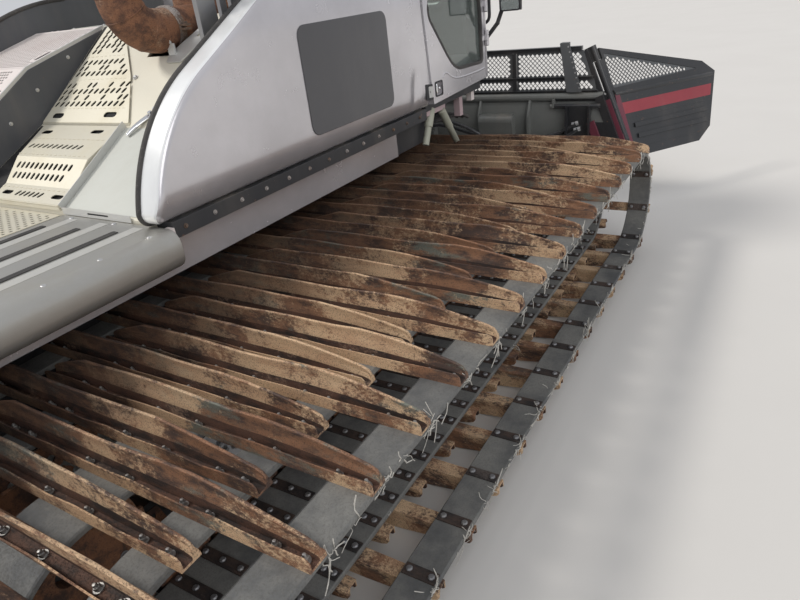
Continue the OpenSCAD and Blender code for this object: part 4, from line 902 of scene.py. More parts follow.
def pod_shell():
    """The pod's closed shell: y = face(x, z) less R - sqrt(R^2 - (R - d)^2) near the edge.

    d is the distance to the outline. The face is meshed over rings set in from the outline and
    a grid inside them; the wall goes straight in to a flat back.
    """
    ring = pod_outline()
    ahead = np.roll(ring, -1, 0) - ring
    long = np.linalg.norm(ahead, axis=1)
    parts = [ring[i] + ahead[i] * np.linspace(0, 1, max(2, int(long[i] / 0.03)), endpoint=False)[:, None]
             for i in range(len(ring)) if long[i] > 1e-6]
    ring = np.concatenate(parts)
    way = np.roll(ring, -1, 0) - np.roll(ring, 1, 0)
    inward = np.stack([-way[:, 1], way[:, 0]], -1) / np.linalg.norm(way, axis=1, keepdims=True)
    steps = POD_EDGE * (1 - np.cos(np.radians([0, 18, 36, 54, 72, 90])))
    rings = []
    for d in steps:
        inset = ring + inward * d
        for _ in range(40):
            folded = ((np.roll(inset, -1, 0) - inset) * (np.roll(ring, -1, 0) - ring)).sum(-1) <= 1e-8
            loose = (folded | np.roll(folded, 1))[:, None]
            inset = np.where(loose, (np.roll(inset, 1, 0) + np.roll(inset, -1, 0)) / 2, inset)
        rings.append(inset)
    gx, gz = np.meshgrid(np.arange(0.64, 2.66, 0.02), np.arange(1.07, 1.9, 0.02))
    spots = np.stack([gx.ravel(), gz.ravel()], -1)
    a, b = ring, np.roll(ring, -1, 0)
    edge = b - a
    t = np.clip(((spots[:, None] - a) * edge).sum(-1) / (edge ** 2).sum(-1), 0, 1)
    gap = np.linalg.norm(spots[:, None] - (a + t[..., None] * edge), axis=-1).min(1)
    cross = ((a[:, 1] > spots[:, None, 1]) != (b[:, 1] > spots[:, None, 1])) & (
        spots[:, None, 0] < a[:, 0] + (spots[:, None, 1] - a[:, 1]) * edge[:, 0]
        / np.where(edge[:, 1] == 0, 1e-12, edge[:, 1]))
    spots = spots[(cross.sum(1) % 2 == 1) & (gap > POD_EDGE + 0.006)]
    count = len(ring)
    inner = np.concatenate([rings[-1], spots])
    edges = np.stack([np.arange(count), np.roll(np.arange(count), -1)], -1).tolist()
    made = geometry.delaunay_2d_cdt([Vector(p) for p in inner], edges, [list(range(count))], 1, 1e-7)
    inner = np.array([tuple(v) for v in made[0]])
    tris = np.array(made[2])
    flat = np.concatenate(rings[:-1] + [inner])
    drop = np.concatenate([np.full(count, POD_EDGE - math.sqrt(max(POD_EDGE ** 2 - (POD_EDGE - d) ** 2, 0)))
                           for d in steps[:-1]] + [np.zeros(len(inner))])
    face = np.column_stack([flat[:, 0], pod_face_y(flat[:, 0], flat[:, 1]) - drop, flat[:, 1]])
    back = np.column_stack([ring[:, 0], np.full(count, POD_IN), ring[:, 1]])
    points = np.concatenate([back, face])
    bands = sheet_faces(7, count, False, True)
    order = np.arange(count)
    return Shape(points, bands, tris[:, ::-1] + 6 * count, order[None]), count


def pod_piece(side, on):
    """One pod with its painted face, its edge band made lighter as painted highlight and its back made dark
    grey as painted shade.
    """
    shape, count = pod_shell()
    piece = put("pod_" + side + "_shell", on(shape), "chassis", silver_paint, 40,
                replaces=["pod_" + side])
    mesh = piece.data
    mesh.materials.append(rim_highlight)
    # The pod's back is darkened as painted shade
    mesh.materials.append(inner_grey)
    kinds = np.zeros(len(mesh.polygons), np.int32)
    kinds[:3 * count] = 1
    sizes = np.empty(len(mesh.polygons), np.int32)
    mesh.polygons.foreach_get("loop_total", sizes)
    kinds[sizes > 4] = 2
    mesh.polygons.foreach_set("material_index", kinds)


for side, on in SIDES:
    pod_piece(side, on)

# Sill bolts under the pods
sill_spots = [(x, -1.0252, 1.032) for x in row(0.76, 2.5, 13)]
sill = studs(hexagon(0.0065, 0.006, 0.002), sill_spots, (0, -1, 0))
put("sill_bolts", both(sill), "chassis", rotor_steel)
# Black strips along the pods' inner edges stand for the shaded skin edge: painted shadow
edge = pod_outline()[:-3]
edge = tube(np.stack([edge[:, 0], np.full(len(edge), 0.943), edge[:, 1]], -1), 0.011, 8)
put("pod_edge_shadow_strips", both(edge), "chassis", hose_rubber, 50)

# Deck: grip strips, a dimpled middle plate, an end bracket and the sheet's lip with its slot
strips = [panel(oblong(-0.56, end, -0.016, 0.016), 0.006, 2, 0.002).moved((0, y, 1.0524))
          for y, end in ((-0.47, 0.565), (-0.655, 0.585), (-0.85, 0.602))]
put("deck_grip_strips", both(joined(*strips)), "chassis", grip_black)
beside = boxes(*[(-0.58, 0.655, y, y + 0.05, 1.0502, 1.0510) for y in (-0.545, -0.735, -0.93)])
put("deck_worn_bands", both(beside), "chassis", aluminium)
gx, gy = np.meshgrid(row(-0.56, 0.64, 41), row(-0.37, 0.37, 26))
gx = gx + 0.015 * (np.arange(26) % 2)[:, None]
dimples = [circle(0.0085, 6) + (x, y) for x, y in zip(gx.ravel(), gy.ravel())]
plate = slab(oblong(-0.59, 0.68, -0.395, 0.395), dimples, 0.0025)
put("deck_dimpled_plate", plate.moved((0, 0, 1.0478)), "chassis", tread_aluminium)
# A black sheet under the dimpled plate's holes: painted shadow
put("deck_plate_painted_shadow", boxes((-0.588, 0.678, -0.393, 0.393, 1.0441, 1.0447)), "chassis", shadow_black)
lip = prism(rounded([(-0.83, 1.051), (-0.412, 1.051), (-0.412, 1.08), (-0.83, 1.077)], 0.004, 2), 0, 0.002,
            [rounded(oblong(-0.70, -0.572, 1.062, 1.069), 0.003, 2)])
lip = lip.moved((0.6865, 0, 0), np.array([[0, -1, 0], [1, 0, 0], [0, 0, 1]]))
put("sheet_foot_lips", both(lip), "chassis", pale_aluminium)
# A black strip behind the sheet's foot lip: painted shadow
put("sheet_foot_painted_shadow", both(boxes((0.6868, 0.6888, -0.82, -0.42, 1.052, 1.075))), "chassis",
    shadow_black)
bracket = joined(boxes((0.678, 0.703, -1.036, -1.0, 0.925, 1.046),
                       (0.6765, 0.6785, -1.04, -0.962, 0.925, 0.99)),
                 studs(hexagon(0.007, 0.006, 0.0015), [(0.6762, -0.985, 0.95)], (-1, 0, 0)))
put("deck_end_brackets", both(bracket), "chassis", grip_pale, bevel=0.002)
joints = [studs(dome(0.010, 0.004), [(0.66, y, 1.0502) for y in (-0.5, -0.76)], (0, 0, 1)),
          studs(dome(0.010, 0.004), [(x, -1.03, 1.0478) for x in row(-0.55, 0.6, 7)], (0, -0.25, 1))]
put("deck_rivets", both(joined(*joints)), "chassis", zinc)

# Stairs: two perforated treads on the sheet's slopes, over black sheets of painted shadow
FOOT, FOLD, TOP = np.array([0.690, 0, 1.062]), np.array([1.130, 0, 1.290]), np.array([1.640, 0, 1.685])


def on_slope(shape, low, high, lift=0.0):
    """A flat shape whose X runs up a slope from its lower line and whose Y is the machine's."""
    up = (high - low) / np.linalg.norm(high - low)
    return laid(shape, low + lift * np.array([-up[2], 0, up[0]]), up, (0, 1, 0))


def hole_row(s, first, last, step, turn=28.0, long=0.036, wide=0.02, skip=()):
    """Slanted ovals in a row at height s of the slope; skip holds the places left shut."""
    places = np.arange(first, last - 0.001, -step)
    return [oval(s, y, long, wide, -turn) for i, y in enumerate(places) if i not in skip]


def dash_marks(s, first, last):
    """Short raised dashes in a line across the tread."""
    places = np.arange(first, last, -0.034)
    return boxes(*[(s - 0.0015, s + 0.0015, y - 0.009, y + 0.009, 0, 0.0012) for y in places])


# Rows of holes: height on the slope, first and last place across, step and the places left shut
UPPER_ROWS = (
    (0.122, 0.272, -0.255, 0.0415, ()), (0.160, 0.272, -0.25, 0.0415, (2, 4, 6, 7, 9, 10)),
    (0.198, 0.270, -0.22, 0.0415, ()), (0.236, 0.268, -0.2, 0.0415, (2, 3, 6, 7, 9)),
    (0.310, 0.256, -0.12, 0.0405, ()), (0.346, 0.256, -0.10, 0.0405, (2, 3, 6, 7)),
    (0.382, 0.252, -0.07, 0.0405, ()), (0.455, 0.236, 0.0, 0.0405, (2, 3)),
    (0.489, 0.232, 0.02, 0.0405, ()), (0.521, 0.228, 0.05, 0.0405, (2,)),
    (0.553, 0.226, 0.09, 0.0405, ()), (0.585, 0.222, 0.12, 0.0405, ()))
upper_rows = [hole for *places, shut in UPPER_ROWS for hole in hole_row(*places, skip=shut)]
upper_slots = [oval(0.052, 0.205, 0.088, 0.03, 90), oval(0.058, -0.19, 0.09, 0.03, 90)]
upper_edge = [(0.012, -0.352), (0.282, -0.172), (0.63, 0.132), (0.63, 0.262), (0.03, 0.298), (0.012, 0.298)]
upper = on_slope(slab(rounded(upper_edge, 0.006, 2), upper_rows + upper_slots, 0.003), FOLD, TOP, 0.011)
marks = [on_slope(dash_marks(s, a, b), FOLD, TOP, 0.011)
         for s, a, b in ((0.095, 0.285, -0.29), (0.272, 0.27, -0.16), (0.42, 0.255, -0.03))]
nosing = carried([(-0.012, -0.001), (0.004, -0.001), (0.0115, 0.002), (0.014, 0.007), (0.0115, 0.012),
                  (0.004, 0.0135), (-0.012, 0.0115)], [(1.1432, y, 1.2925) for y in (-0.352, 0, 0.298)])
put("upper_tread", joined(upper, *marks, nosing), "chassis", tread_aluminium, 30,
    replaces=["rear_stairs"])


def lower_height(s):
    """The lower tread's height over the slope: two flatter treads with a steeper riser between."""
    return np.interp(s, (0, 0.105, 0.245, 0.487), (0.024, 0.012, 0.042, 0.011))


def lower_piece(s0, s1, left, right, holes):
    """A flat stretch of the lower tread from s0 to s1; its holes count along it from s0."""
    h0, h1 = lower_height(s0), lower_height(s1)
    up = (FOLD - FOOT) / np.linalg.norm(FOLD - FOOT)
    over = np.array([-up[2], 0, up[0]])
    a, b = FOOT + up * s0 + over * h0, FOOT + up * s1 + over * h1
    edge = [(0, right[0]), (np.linalg.norm(b - a), right[1]), (np.linalg.norm(b - a), left[1]),
            (0, left[0])]
    return laid(slab(edge, holes, 0.003), a, (b - a) / np.linalg.norm(b - a), (0, 1, 0))


low_slots = [oval(0.05, 0.035, 0.075, 0.026, 90), oval(0.05, -0.33, 0.075, 0.026, 90)]
lower = [lower_piece(0.002, 0.105, (0.10, 0.125), (-0.392, -0.378),
                     low_slots + hole_row(0.05, -0.045, -0.245, 0.0335, 24)),
         lower_piece(0.105, 0.245, (0.125, 0.16), (-0.378, -0.36),
                     hole_row(0.045, 0.095, -0.29, 0.0352, 8) + hole_row(0.098, 0.11, -0.29, 0.0352, 8)),
         lower_piece(0.245, 0.487, (0.16, 0.265), (-0.36, -0.333),
                     hole_row(0.08, 0.155, -0.25, 0.037, 26)
                     + [oval(0.188, 0.17, 0.08, 0.028, 90), oval(0.198, -0.20, 0.085, 0.028, 90)])]
low_marks = [on_slope(dash_marks(s, a, b), FOOT, FOLD, lower_height(s) + 0.001)
             for s, a, b in ((0.085, 0.11, -0.37), (0.262, 0.16, -0.34), (0.38, 0.2, -0.32))]
low_nose = boxes((0.684, 0.694, -0.392, 0.10, 1.064, 1.0865))
put("lower_tread", joined(*lower, *low_marks, low_nose), "chassis", tread_aluminium, 20)
skirt_s = np.array([0.004, 0.055, 0.105, 0.175, 0.245, 0.33, 0.41, 0.484])
skirt_y = np.interp(skirt_s, (0.002, 0.105, 0.245, 0.487), (-0.392, -0.378, -0.36, -0.333)) + 0.0015
rise = (FOLD - FOOT) / np.linalg.norm(FOLD - FOOT)
skirt = carried(np.array([oblong(-0.001, 0.001, 0.002, h - 0.001)
                          for h in lower_height(skirt_s)]),
                FOOT + skirt_s[:, None] * rise + skirt_y[:, None] * np.array([0, 1.0, 0]))
put("tread_skirt", skirt, "chassis", tread_aluminium)
side_rail = carried(oblong(-0.0015, 0.0015, -0.012, 0.028),
                    [(0.692, -0.402, 1.066), (0.91, -0.371, 1.180), (1.126, -0.339, 1.293)])
put("tread_flange", side_rail, "chassis", pale_aluminium)
# Black sheets under the treads, seen through their holes and beside them: painted shadow
tread_shadows = [on_slope(slab([(0.004, -0.38), (0.49, -0.328), (0.49, 0.306), (0.004, 0.306)], (), 0.001),
                   FOOT, FOLD, 0.0025),
          on_slope(slab([(0.006, -0.34), (0.285, -0.163), (0.64, 0.15), (0.64, 0.306), (0.006, 0.306)],
                        (), 0.001), FOLD, TOP, 0.0025)]
put("tread_painted_shadow", joined(*tread_shadows), "chassis", shadow_black)

foot_sheet = panel([(0.012, -0.925), (0.485, -0.925), (0.485, -0.342), (0.012, -0.406)], 0.008, 2, 0.0015)
put("foot_sheets", on_slope(foot_sheet, FOOT, FOLD, 0.002), "chassis", pale_sheet)

# Walkway beside the treads: a dark box with a grip mesh on top and bolts along its wall
walk_top = np.array([(0.75, 1.302), (0.973, 1.435), (1.161, 1.548), (1.636, 1.682)])
walk_foot = [(1.62, 1.6735), (1.617, 1.6685), (1.130, 1.2903), (0.75, 1.0934)]
box = prism([tuple(p - (0, 0.004)) for p in walk_top[:3]] + walk_foot, 0.312, 0.934)
put("walkway_box", box, "chassis", inner_grey, bevel=0.003)


def on_walk(shape_of, lift=0.0):
    """Flat pieces on the walkway's three stretches; shape_of gives one for a stretch's length."""
    parts = []
    for (x0, z0), (x1, z1) in zip(walk_top, walk_top[1:]):
        long = math.hypot(x1 - x0, z1 - z0)
        turn = (x1 - x0, 0, z1 - z0)
        over = np.array([z0 - z1, 0, x1 - x0]) / long * lift
        parts.append(laid(shape_of(long), np.array([x0, 0, z0]) + over, turn, (0, 1, 0)))
    return joined(*parts)


def grip_mesh(long):
    """A plate with diamond openings in staggered rows."""
    across = row(0.365, 0.90, 25)
    along = np.arange(0.025, long - 0.02, 0.019)
    cuts = [circle(0.0085, 4) * (1.0, 1.15) + (x, y + 0.011 * (i % 2)) for i, x in enumerate(along)
            for y in across]
    cuts = [c for c in cuts if not (0.08 < c[:, 0].mean() < 0.20 and c[:, 1].mean() < 0.41)]
    slot = [rounded(oblong(0.09, 0.19, 0.365, 0.395), 0.012, 2)]
    return slab(oblong(0, long, 0.33, 0.932), cuts + (slot if long > 0.23 else []),
                0.003)


put("walkway_mesh", on_walk(grip_mesh, 0.006), "chassis", grip_pale, 20)
# A black sheet under the grip mesh: painted shadow
walk_shadow = on_walk(lambda long: slab(oblong(0, long, 0.335, 0.93), (), 0.001), 0.0012)
put("walkway_painted_shadow", walk_shadow, "chassis", shadow_black)
rail = carried(oblong(-0.005, 0.005, -0.02, 0.012),
               [(x, 0.322, z) for x, z in walk_top])
put("walkway_edge", rail, "chassis", pale_aluminium, bevel=0.0015)
spots = [(0.80, 0.3118, 1.235), (0.99, 0.3118, 1.33), (1.17, 0.3118, 1.45), (1.38, 0.3118, 1.57)]
put("walkway_bolts", studs(hexagon(0.0065, 0.006, 0.0015), spots, (0, -1, 0)), "chassis", zinc)

# Latch and sheet bolts beside the treads
latch_path = smooth_path([(1.186, -0.449, 1.330), (1.15, -0.441, 1.317), (1.10, -0.427, 1.293),
                          (1.064, -0.417, 1.268)], 5)
wide = np.interp(np.arange(len(latch_path)), (0, 3, 9, len(latch_path) - 1), (0.013, 0.019, 0.014, 0.006))
latch = carried(np.array([circle(1, 12) * (w, 0.009) for w in wide]), latch_path)
knob = studs(dome(0.013, 0.016, 12), [(1.186, -0.449, 1.332)], (-0.5, 0, 0.86))
put("cover_latch", joined(latch, knob), "chassis", chrome_rod, 40)
sheet_bolts = studs(hexagon(0.009, 0.007, 0.0025), [(1.351, -0.2, 1.463), (1.205, -0.458, 1.349)],
                    (-0.61, 0, 0.79))
low_bolts = studs(hexagon(0.008, 0.006, 0.002), [(0.72, -0.9, 1.0785), (1.05, -0.9, 1.2495)],
                  (-0.46, 0, 0.89))
put("sheet_bolts", joined(sheet_bolts, low_bolts), "chassis", zinc)

# Exhaust: stack, bend, clamp, silencer with straps, and the bracket on the slope
PIPE_Y = -0.31
BEND_X, BEND_Z, BEND_R = 1.44, 1.795, 0.15
bend = arc((BEND_X, BEND_Z), BEND_R, 180, 270, 14)
run = np.concatenate([[(1.29, 1.86)], [(1.29, 1.80)], bend, [(1.47, 1.645), (1.60, 1.645), (1.72, 1.645)]])
pipe = tube(np.stack([run[:, 0], np.full(len(run), PIPE_Y), run[:, 1]], -1), 0.092, 36)
stack = turned([(0.087, 1.83), (0.092, 1.83), (0.092, 2.262), (0.1, 2.266), (0.1, 2.294), (0.092, 2.298),
                (0.092, 2.353), (0.0895, 2.355), (0.087, 2.353)], 36, (1.29, PIPE_Y, 0), "z")
seams = [spool((BEND_X + BEND_R * math.cos(a), PIPE_Y, BEND_Z + BEND_R * math.sin(a)),
               (-math.sin(a), 0, math.cos(a)),
               (-0.004, -0.0015, 0.0015, 0.004), (0.0915, 0.0945, 0.0945, 0.0915), 36)
         for a in np.radians([180, 205, 247, 270])]
put("exhaust_pipe", joined(pipe, stack, *seams), "chassis", pipe_steel, 40,
    replaces=["exhaust"])
clamp = joined(spool((1.517, PIPE_Y, 1.645), (1, 0, 0), (-0.018, -0.016, 0.016, 0.018),
                     (0.0965, 0.1, 0.1, 0.0965), 36),
               boxes((1.503, 1.531, PIPE_Y - 0.135, PIPE_Y - 0.092, 1.636, 1.645),
                     (1.503, 1.531, PIPE_Y - 0.135, PIPE_Y - 0.092, 1.652, 1.661)),
               studs(hexagon(0.008, 0.008, 0.002), [(1.517, PIPE_Y - 0.12, 1.661)], (0, 0, 1)))
put("exhaust_clamp", clamp, "chassis", rotor_steel, 30, bevel=0.001)
silencer = spool((0, PIPE_Y, 1.745), (1, 0, 0),
                 (1.70, 1.703, 1.712, 1.725, 1.74, 1.79, 1.795, 1.83, 1.835, 2.11, 2.115, 2.15, 2.155,
                  2.20, 2.215, 2.228, 2.237, 2.24),
                 (0.10, 0.13, 0.155, 0.168, 0.1715, 0.1715, 0.1735, 0.1735, 0.1715, 0.1715, 0.1735, 0.1735,
                  0.1715, 0.1715, 0.168, 0.155, 0.13, 0.10), 48)
straps = boxes(*[(x, x + 0.04, PIPE_Y - 0.225, PIPE_Y + 0.225, 1.6854, 1.7085) for x in (1.79, 2.11)])
put("exhaust_silencer", joined(silencer, straps), "chassis", pipe_steel, 34, bevel=0.002)
S = np.linalg.norm(TOP - FOLD) / (TOP - FOLD)[0]
holder = [((x - 1.13) * S, y) for x,
          y in ((1.452, -0.355), (1.412, -0.365), (1.412, -0.458), (1.51, -0.528),
                (1.574, -0.508), (1.574, -0.460))]
holder = on_slope(slab(rounded(holder, 0.008, 3), [circle(0.014, 12) + ((1.538 - 1.13) * S, -0.482)],
                       0.006),
                  FOLD, TOP, 0.0085)
lug = boxes((1.438, 1.450, -0.4, -0.36, 1.54, 1.589), (1.434, 1.442, -0.392, -0.368, 1.589, 1.62))
put("exhaust_bracket", joined(holder, lug), "chassis", pale_aluminium, bevel=0.001)
put("bracket_lug_tip", boxes((1.432, 1.446, -0.39, -0.37, 1.6, 1.632)), "chassis", grip_pale,
    bevel=0.002)

# The guard's folded edges
guard_edge = carried(oblong(-0.006, 0.006, -0.011, 0.011),
                     [(1.201, -0.859, 1.36), (1.201, -0.859, 1.979), (1.619, -0.859, 1.979),
                      (1.619, -0.859, 1.69)],
                     up=(0, 1, 0))
put("guard_edge", guard_edge, "chassis", shield_metal, bevel=0.001)

# Blade: all places count X from the long bar; the wings have a frame of their own
BLADE_X = 4.26035
DIAMOND = circle(0.0145, 4)


def diamonds(low, high, left, right, pitch=0.0345, inside=None):
    """Diamond holes in staggered rows between two heights; inside says which centres are cut."""
    cuts = []
    for i, z in enumerate(np.arange(low, high, pitch * 0.5)):
        for y in np.arange(left + (i % 2) * pitch / 2, right, pitch):
            if inside is None or inside(y, z):
                cuts.append(DIAMOND + (y, z))
    return cuts


def upright(shape, x):
    """A flat shape drawn in Y and Z, facing back, with its back face at x."""
    return laid(shape.moved(turn=np.diag([-1.0, 1.0, -1.0])), (x, 0, 0), (0, -1, 0), (0, 0, 1))


def hinge_y(z, gap=0.0):
    """How far out the leaning hinges are at a height, less a gap measured square to them."""
    return 1.65 - (z - 0.81) * math.tan(math.radians(22)) - gap / math.cos(math.radians(22))


screens = []
for half in (-1, 1):
    for i in range(2):
        for low, high in ((0.872, 0.925), (0.968, 1.128)):
            y0, y1 = 0.462 * i + 0.018, 0.462 * (i + 1) - 0.018
            edge = [(half * y, z) for y, z in ((y0, low - 0.014), (y1, low - 0.014), (y1, high + 0.012),
                                               (y0, high + 0.012))]
            first = y0 + (0.17 if i == 0 and high < 0.95 else 0.03)
            cuts = diamonds(low + 0.006, high - 0.004, first, y1 - 0.02)
            screens.append(slab(edge, [c * (half, 1) for c in cuts], 0.006))
    for low, high in ((0.872, 0.925), (0.968, 1.128)):
        edge = [(half * y, z) for y, z in ((0.942, low - 0.014), (hinge_y(low, 0.062), low - 0.014),
                                           (hinge_y(high, 0.062), high + 0.012), (0.942, high + 0.012))]
        cuts = diamonds(low + 0.006, high - 0.004, 0.965, 1.6, inside=lambda y, z: y < hinge_y(z, 0.09))
        screens.append(slab(edge, [c * (half, 1) for c in cuts], 0.006))
put("screen_panels", upright(joined(*screens), BLADE_X - 0.023), "blade", screen_grey, 20,
    replaces=["blade_screens"])


rails = []
for z0, z1 in ((0.8445, 0.8585), (0.935, 0.957), (1.140, 1.168)):
    reach = hinge_y(z1, 0.0565)
    rails.append(boxes((BLADE_X - 0.04, BLADE_X, -reach, reach, z0, z1)))
    rails.append(boxes((BLADE_X - 0.046, BLADE_X - 0.04, -reach + 0.02, reach - 0.02, z1 - 0.007, z1)))
posts = boxes(*[(BLADE_X - 0.044, BLADE_X - 0.001, y - 0.014, y + 0.014, 0.846, 1.139)
                for y in (-0.924, -0.462, 0, 0.462, 0.924)])
feet = [prism([(BLADE_X - 0.042, 0.858), (BLADE_X - 0.012, 0.858), (BLADE_X - 0.012, 0.905)], y + s - 0.003,
              y + s + 0.003) for y in (-0.924, -0.462, 0.462, 0.924) for s in (-0.02, 0.02)]
put("screen_rails", joined(*rails, posts, *feet), "blade", blade_paint, bevel=0.002)
plate_edge = [(1.340, 0.846), (1.456, 0.846), (1.358, 1.198), (1.287, 1.198)]
end_plate = joined(
    upright(panel(plate_edge, 0.01, 3, 0.006), BLADE_X - 0.052),
    carried(oblong(-0.003, 0.003, -0.006, 0.006),
            [(BLADE_X - 0.047, 1.343, 0.85), (BLADE_X - 0.047, 1.291, 1.195)], up=(1, 0, 0)),
    boxes((BLADE_X - 0.052, BLADE_X - 0.002, 1.29, 1.35, 1.168, 1.1975)))
t = row(0.06, 0.94, 9)
bolt_line = [(BLADE_X - 0.0522, 1.441 + (1.345 - 1.441) * k, 0.856 + (1.19 - 0.856) * k) for k in t]
put("screen_end_plates", both(end_plate), "blade", screen_grey, bevel=0.0015)
put("screen_bolts", both(studs(hexagon(0.007, 0.006, 0.0015), bolt_line, (-1, 0, 0))), "blade", zinc)

# Wings: p runs along a wing, n across its plate to the back, q up it
HINGE, LEAN = (BLADE_X, 1.65, 0.81), spin("X", 22)
LEVEL = LEAN @ spin("Z", 33) @ spin("Y", 12.4052)


def winged(shape):
    """A shape in a wing's frame, taken to the left wing's place."""
    return shape.moved(HINGE, LEVEL)


def on_wing(outline, holes=(), top=0.012, thick=0.024):
    """A flat piece in p and q with its back face at n = top."""
    flat = slab([(p, -q) for p, q in outline], [[(p, -q) for p, q in h] for h in holes], thick)
    return flat.moved((0, top, 0), np.array([[1.0, 0, 0], [0, 0, 1], [0, -1, 0]]))


wing_edge = [(0.1475, -0.4846), (0.772, -0.4846), (0.908, -0.3906), (1.042, 0.019), (0.925, 0.111),
             (-0.035, 0.346)]
opening = [(0.034, 0.040), (0.89, 0.060), (-0.016, 0.325)]
inner = rounded([(0.036, 0.046), (0.86, 0.066), (-0.004, 0.305)], 0.012, 3)
plate = on_wing(wing_edge, [inner[::-1]])
lip_path = [(p, 0.0, q) for p, q in ((0.775, -0.478), (0.902, -0.388), (1.034, 0.017), (0.922, 0.104),
                                     (-0.03, 0.339))]
border = tube(lip_path, 0.0105, 8, up=(0, 1, 0))
pipe = spool((0, 0, 0), (1, 0, 0), (0.04, 0.042, 1.008, 1.012), (0.019, 0.02, 0.02, 0.019), 20)
ledges = [carried([(-0.013, -0.016), (0.0, -0.016), (0.012, -0.010), (0.012, 0.010), (0.0, 0.016),
                   (-0.013, 0.016)],
                  [(0.115 - 0.2 * q, 0.012, q), (0.88 + (q + 0.3346) * 0.15, 0.012, q)], up=(0, 0, 1))
          for q in (-0.3346, -0.2526)]
creases = [boxes((0.05 - 0.15 * q, 0.93 + 0.2 * q, 0.0118, 0.0135, q - 0.004, q + 0.004))
           for q in (-0.19, -0.42)]
knuckles = []
for v0, v1 in ((-0.3541, -0.112), (0.022, 0.2655)):
    ring = circle(0.026, 24)
    hole = circle(0.0125, 24)[::-1]
    knuckles.append(slab(ring, [hole], v1 - v0).moved((0, 0, v1)))
    knuckles.append(boxes((0.02, 0.041, -0.012, 0.012, v0, v1)).moved(turn=spin("Z", 33)))
hinge = joined(*knuckles).moved(HINGE, LEAN)
guard = boxes((-0.031, -0.0265, -0.088, 0.0, -0.40, -0.02)).moved(HINGE, LEAN)
strip = boxes((-0.0255, -0.022, -0.087, -0.032, 0.0, 0.37)).moved(HINGE, LEAN)
put("hinge_strips", both(strip), "blade", blade_paint, bevel=0.001)
link = boxes((-0.075, -0.055, -0.21, -0.15, -0.34, -0.12)).moved(HINGE, LEAN)
put("hinge_guards", both(guard), "blade", maroon_paint, bevel=0.002)
put("hinge_links", both(link), "blade", maroon_paint, bevel=0.004)
strap = on_wing(rounded([(0.045, -0.40), (0.13, -0.40), (0.075, 0.0), (0.035, 0.0)], 0.01, 3), (),
                0.0165, 0.005)
cuts = diamonds(0.06, 0.30, 0.0, 0.9, 0.0345,
                inside=lambda p, q: 0.052 - 0.2 * q < p and 0.07 < q < 0.283 - p * 0.272)
mesh = on_wing(opening, cuts, 0.006, 0.006)
stripe = on_wing(rounded([(0.075, -0.157), (0.958, -0.157), (0.985, -0.072), (0.058, -0.072)], 0.004,
                         2), (),
                 0.0131, 0.0012)
for side, on in SIDES:
    body = "wing_" + side
    put("wing_plate_" + side, on(joined(winged(joined(plate, border, pipe, *ledges, *creases)), hinge)),
        body, blade_paint, 30, 0.0015, replaces=[body])
    put("wing_mesh_" + side, on(winged(mesh)), body, screen_grey, 20)
    put("wing_stripe_" + side, on(winged(stripe)), body, red_paint)
    put("wing_strap_" + side, on(winged(strap)), body, maroon_paint, bevel=0.001)

# Blade's back: hoses with their fittings, and a blank plate on the box
hose_runs = [[(4.03, -0.10, 0.60), (4.02, -0.30, 0.68), (4.02, -0.55, 0.63), (4.08, -0.80, 0.50),
              (4.15, -1.05, 0.49), (4.19, -1.30, 0.55), (4.19, -1.42, 0.62)],
             [(4.05, -0.08, 0.58), (4.05, -0.32, 0.63), (4.06, -0.60, 0.56), (4.10, -0.86, 0.47),
              (4.16, -1.1, 0.46), (4.18, -1.34, 0.52), (4.18, -1.44, 0.58)],
             [(4.03, 0.10, 0.60), (4.02, 0.30, 0.67), (4.05, 0.62, 0.60), (4.12, 0.95, 0.50),
              (4.17, 1.2, 0.52), (4.18, 1.42, 0.60)]]
hoses = [tube(smooth_path(run, 6), 0.015, 12, up=(1, 0, 0)) for run in hose_runs]
ends = [spool(run[-1], (0, math.copysign(1, run[-1][1]), 0.2), (-0.03, 0.0, 0.002, 0.02, 0.022),
              (0.0145, 0.0145, 0.018, 0.018, 0.014), 6) for run in hose_runs]
put("blade_hoses", joined(*hoses), "blade", shiny_hose, 50)
put("hose_fittings", joined(*ends), "blade", zinc, 30)
label = boxes((BLADE_X - 0.132, BLADE_X - 0.1295, -0.885, -0.80, 0.575, 0.655))
put("blank_plate", label, "blade", grip_pale, bevel=0.001)

# Cab: seals, handles, mirrors, lamps and wipers
def side_y(z):
    """How far out the cab's side is at a height: upright, then leaning in above 1.65."""
    return 1.05 - np.clip(np.asarray(z, float) - 1.65, 0, 2) * 0.12 / 1.01


def on_cab_side(shape, y):
    """A flat shape drawn in X and Z on the cab's left side, with its top at y."""
    return laid(shape, (0, -y, 0), (1, 0, 0), (0, 0, 1)).mirrored()


window = rounded([(2.655, 1.535), (2.738, 1.441), (2.844, 1.321), (2.913, 1.255), (2.990, 1.221),
                  (3.345, 1.208), (3.345, 1.550), (3.045, 2.480), (2.760, 2.520), (2.655, 2.420)], 0.035, 3)
seal = carried([(-0.007, -0.016), (0.011, -0.016), (0.011, 0.0015), (0.006, 0.003), (-0.004, 0.003),
                (-0.007, 0.0)],
               np.stack([window[:, 0], side_y(window[:, 1]), window[:, 1]], -1)[::-1], (0, 1, 0), True)
cup = rounded(oblong(2.666, 2.758, 1.110, 1.194), 0.012, 3)
cup_inner = rounded(oblong(2.674, 2.750, 1.118, 1.186), 0.010, 3)
frame_ring = on_cab_side(slab(cup, [cup_inner], 0.0035), 1.0535)
lever = carried(np.array([circle(1, 10) * (0.011 * k, 0.006 * k) for k in (0.7, 1, 1, 0.7)]),
                [(2.694, 1.046, z) for z in (1.126, 1.135, 1.172, 1.180)], (0, 1, 0))
key = spool((2.733, 0, 1.150), (0, 1, 0), (1.026, 1.044, 1.047), (0.011, 0.011, 0.008), 16)
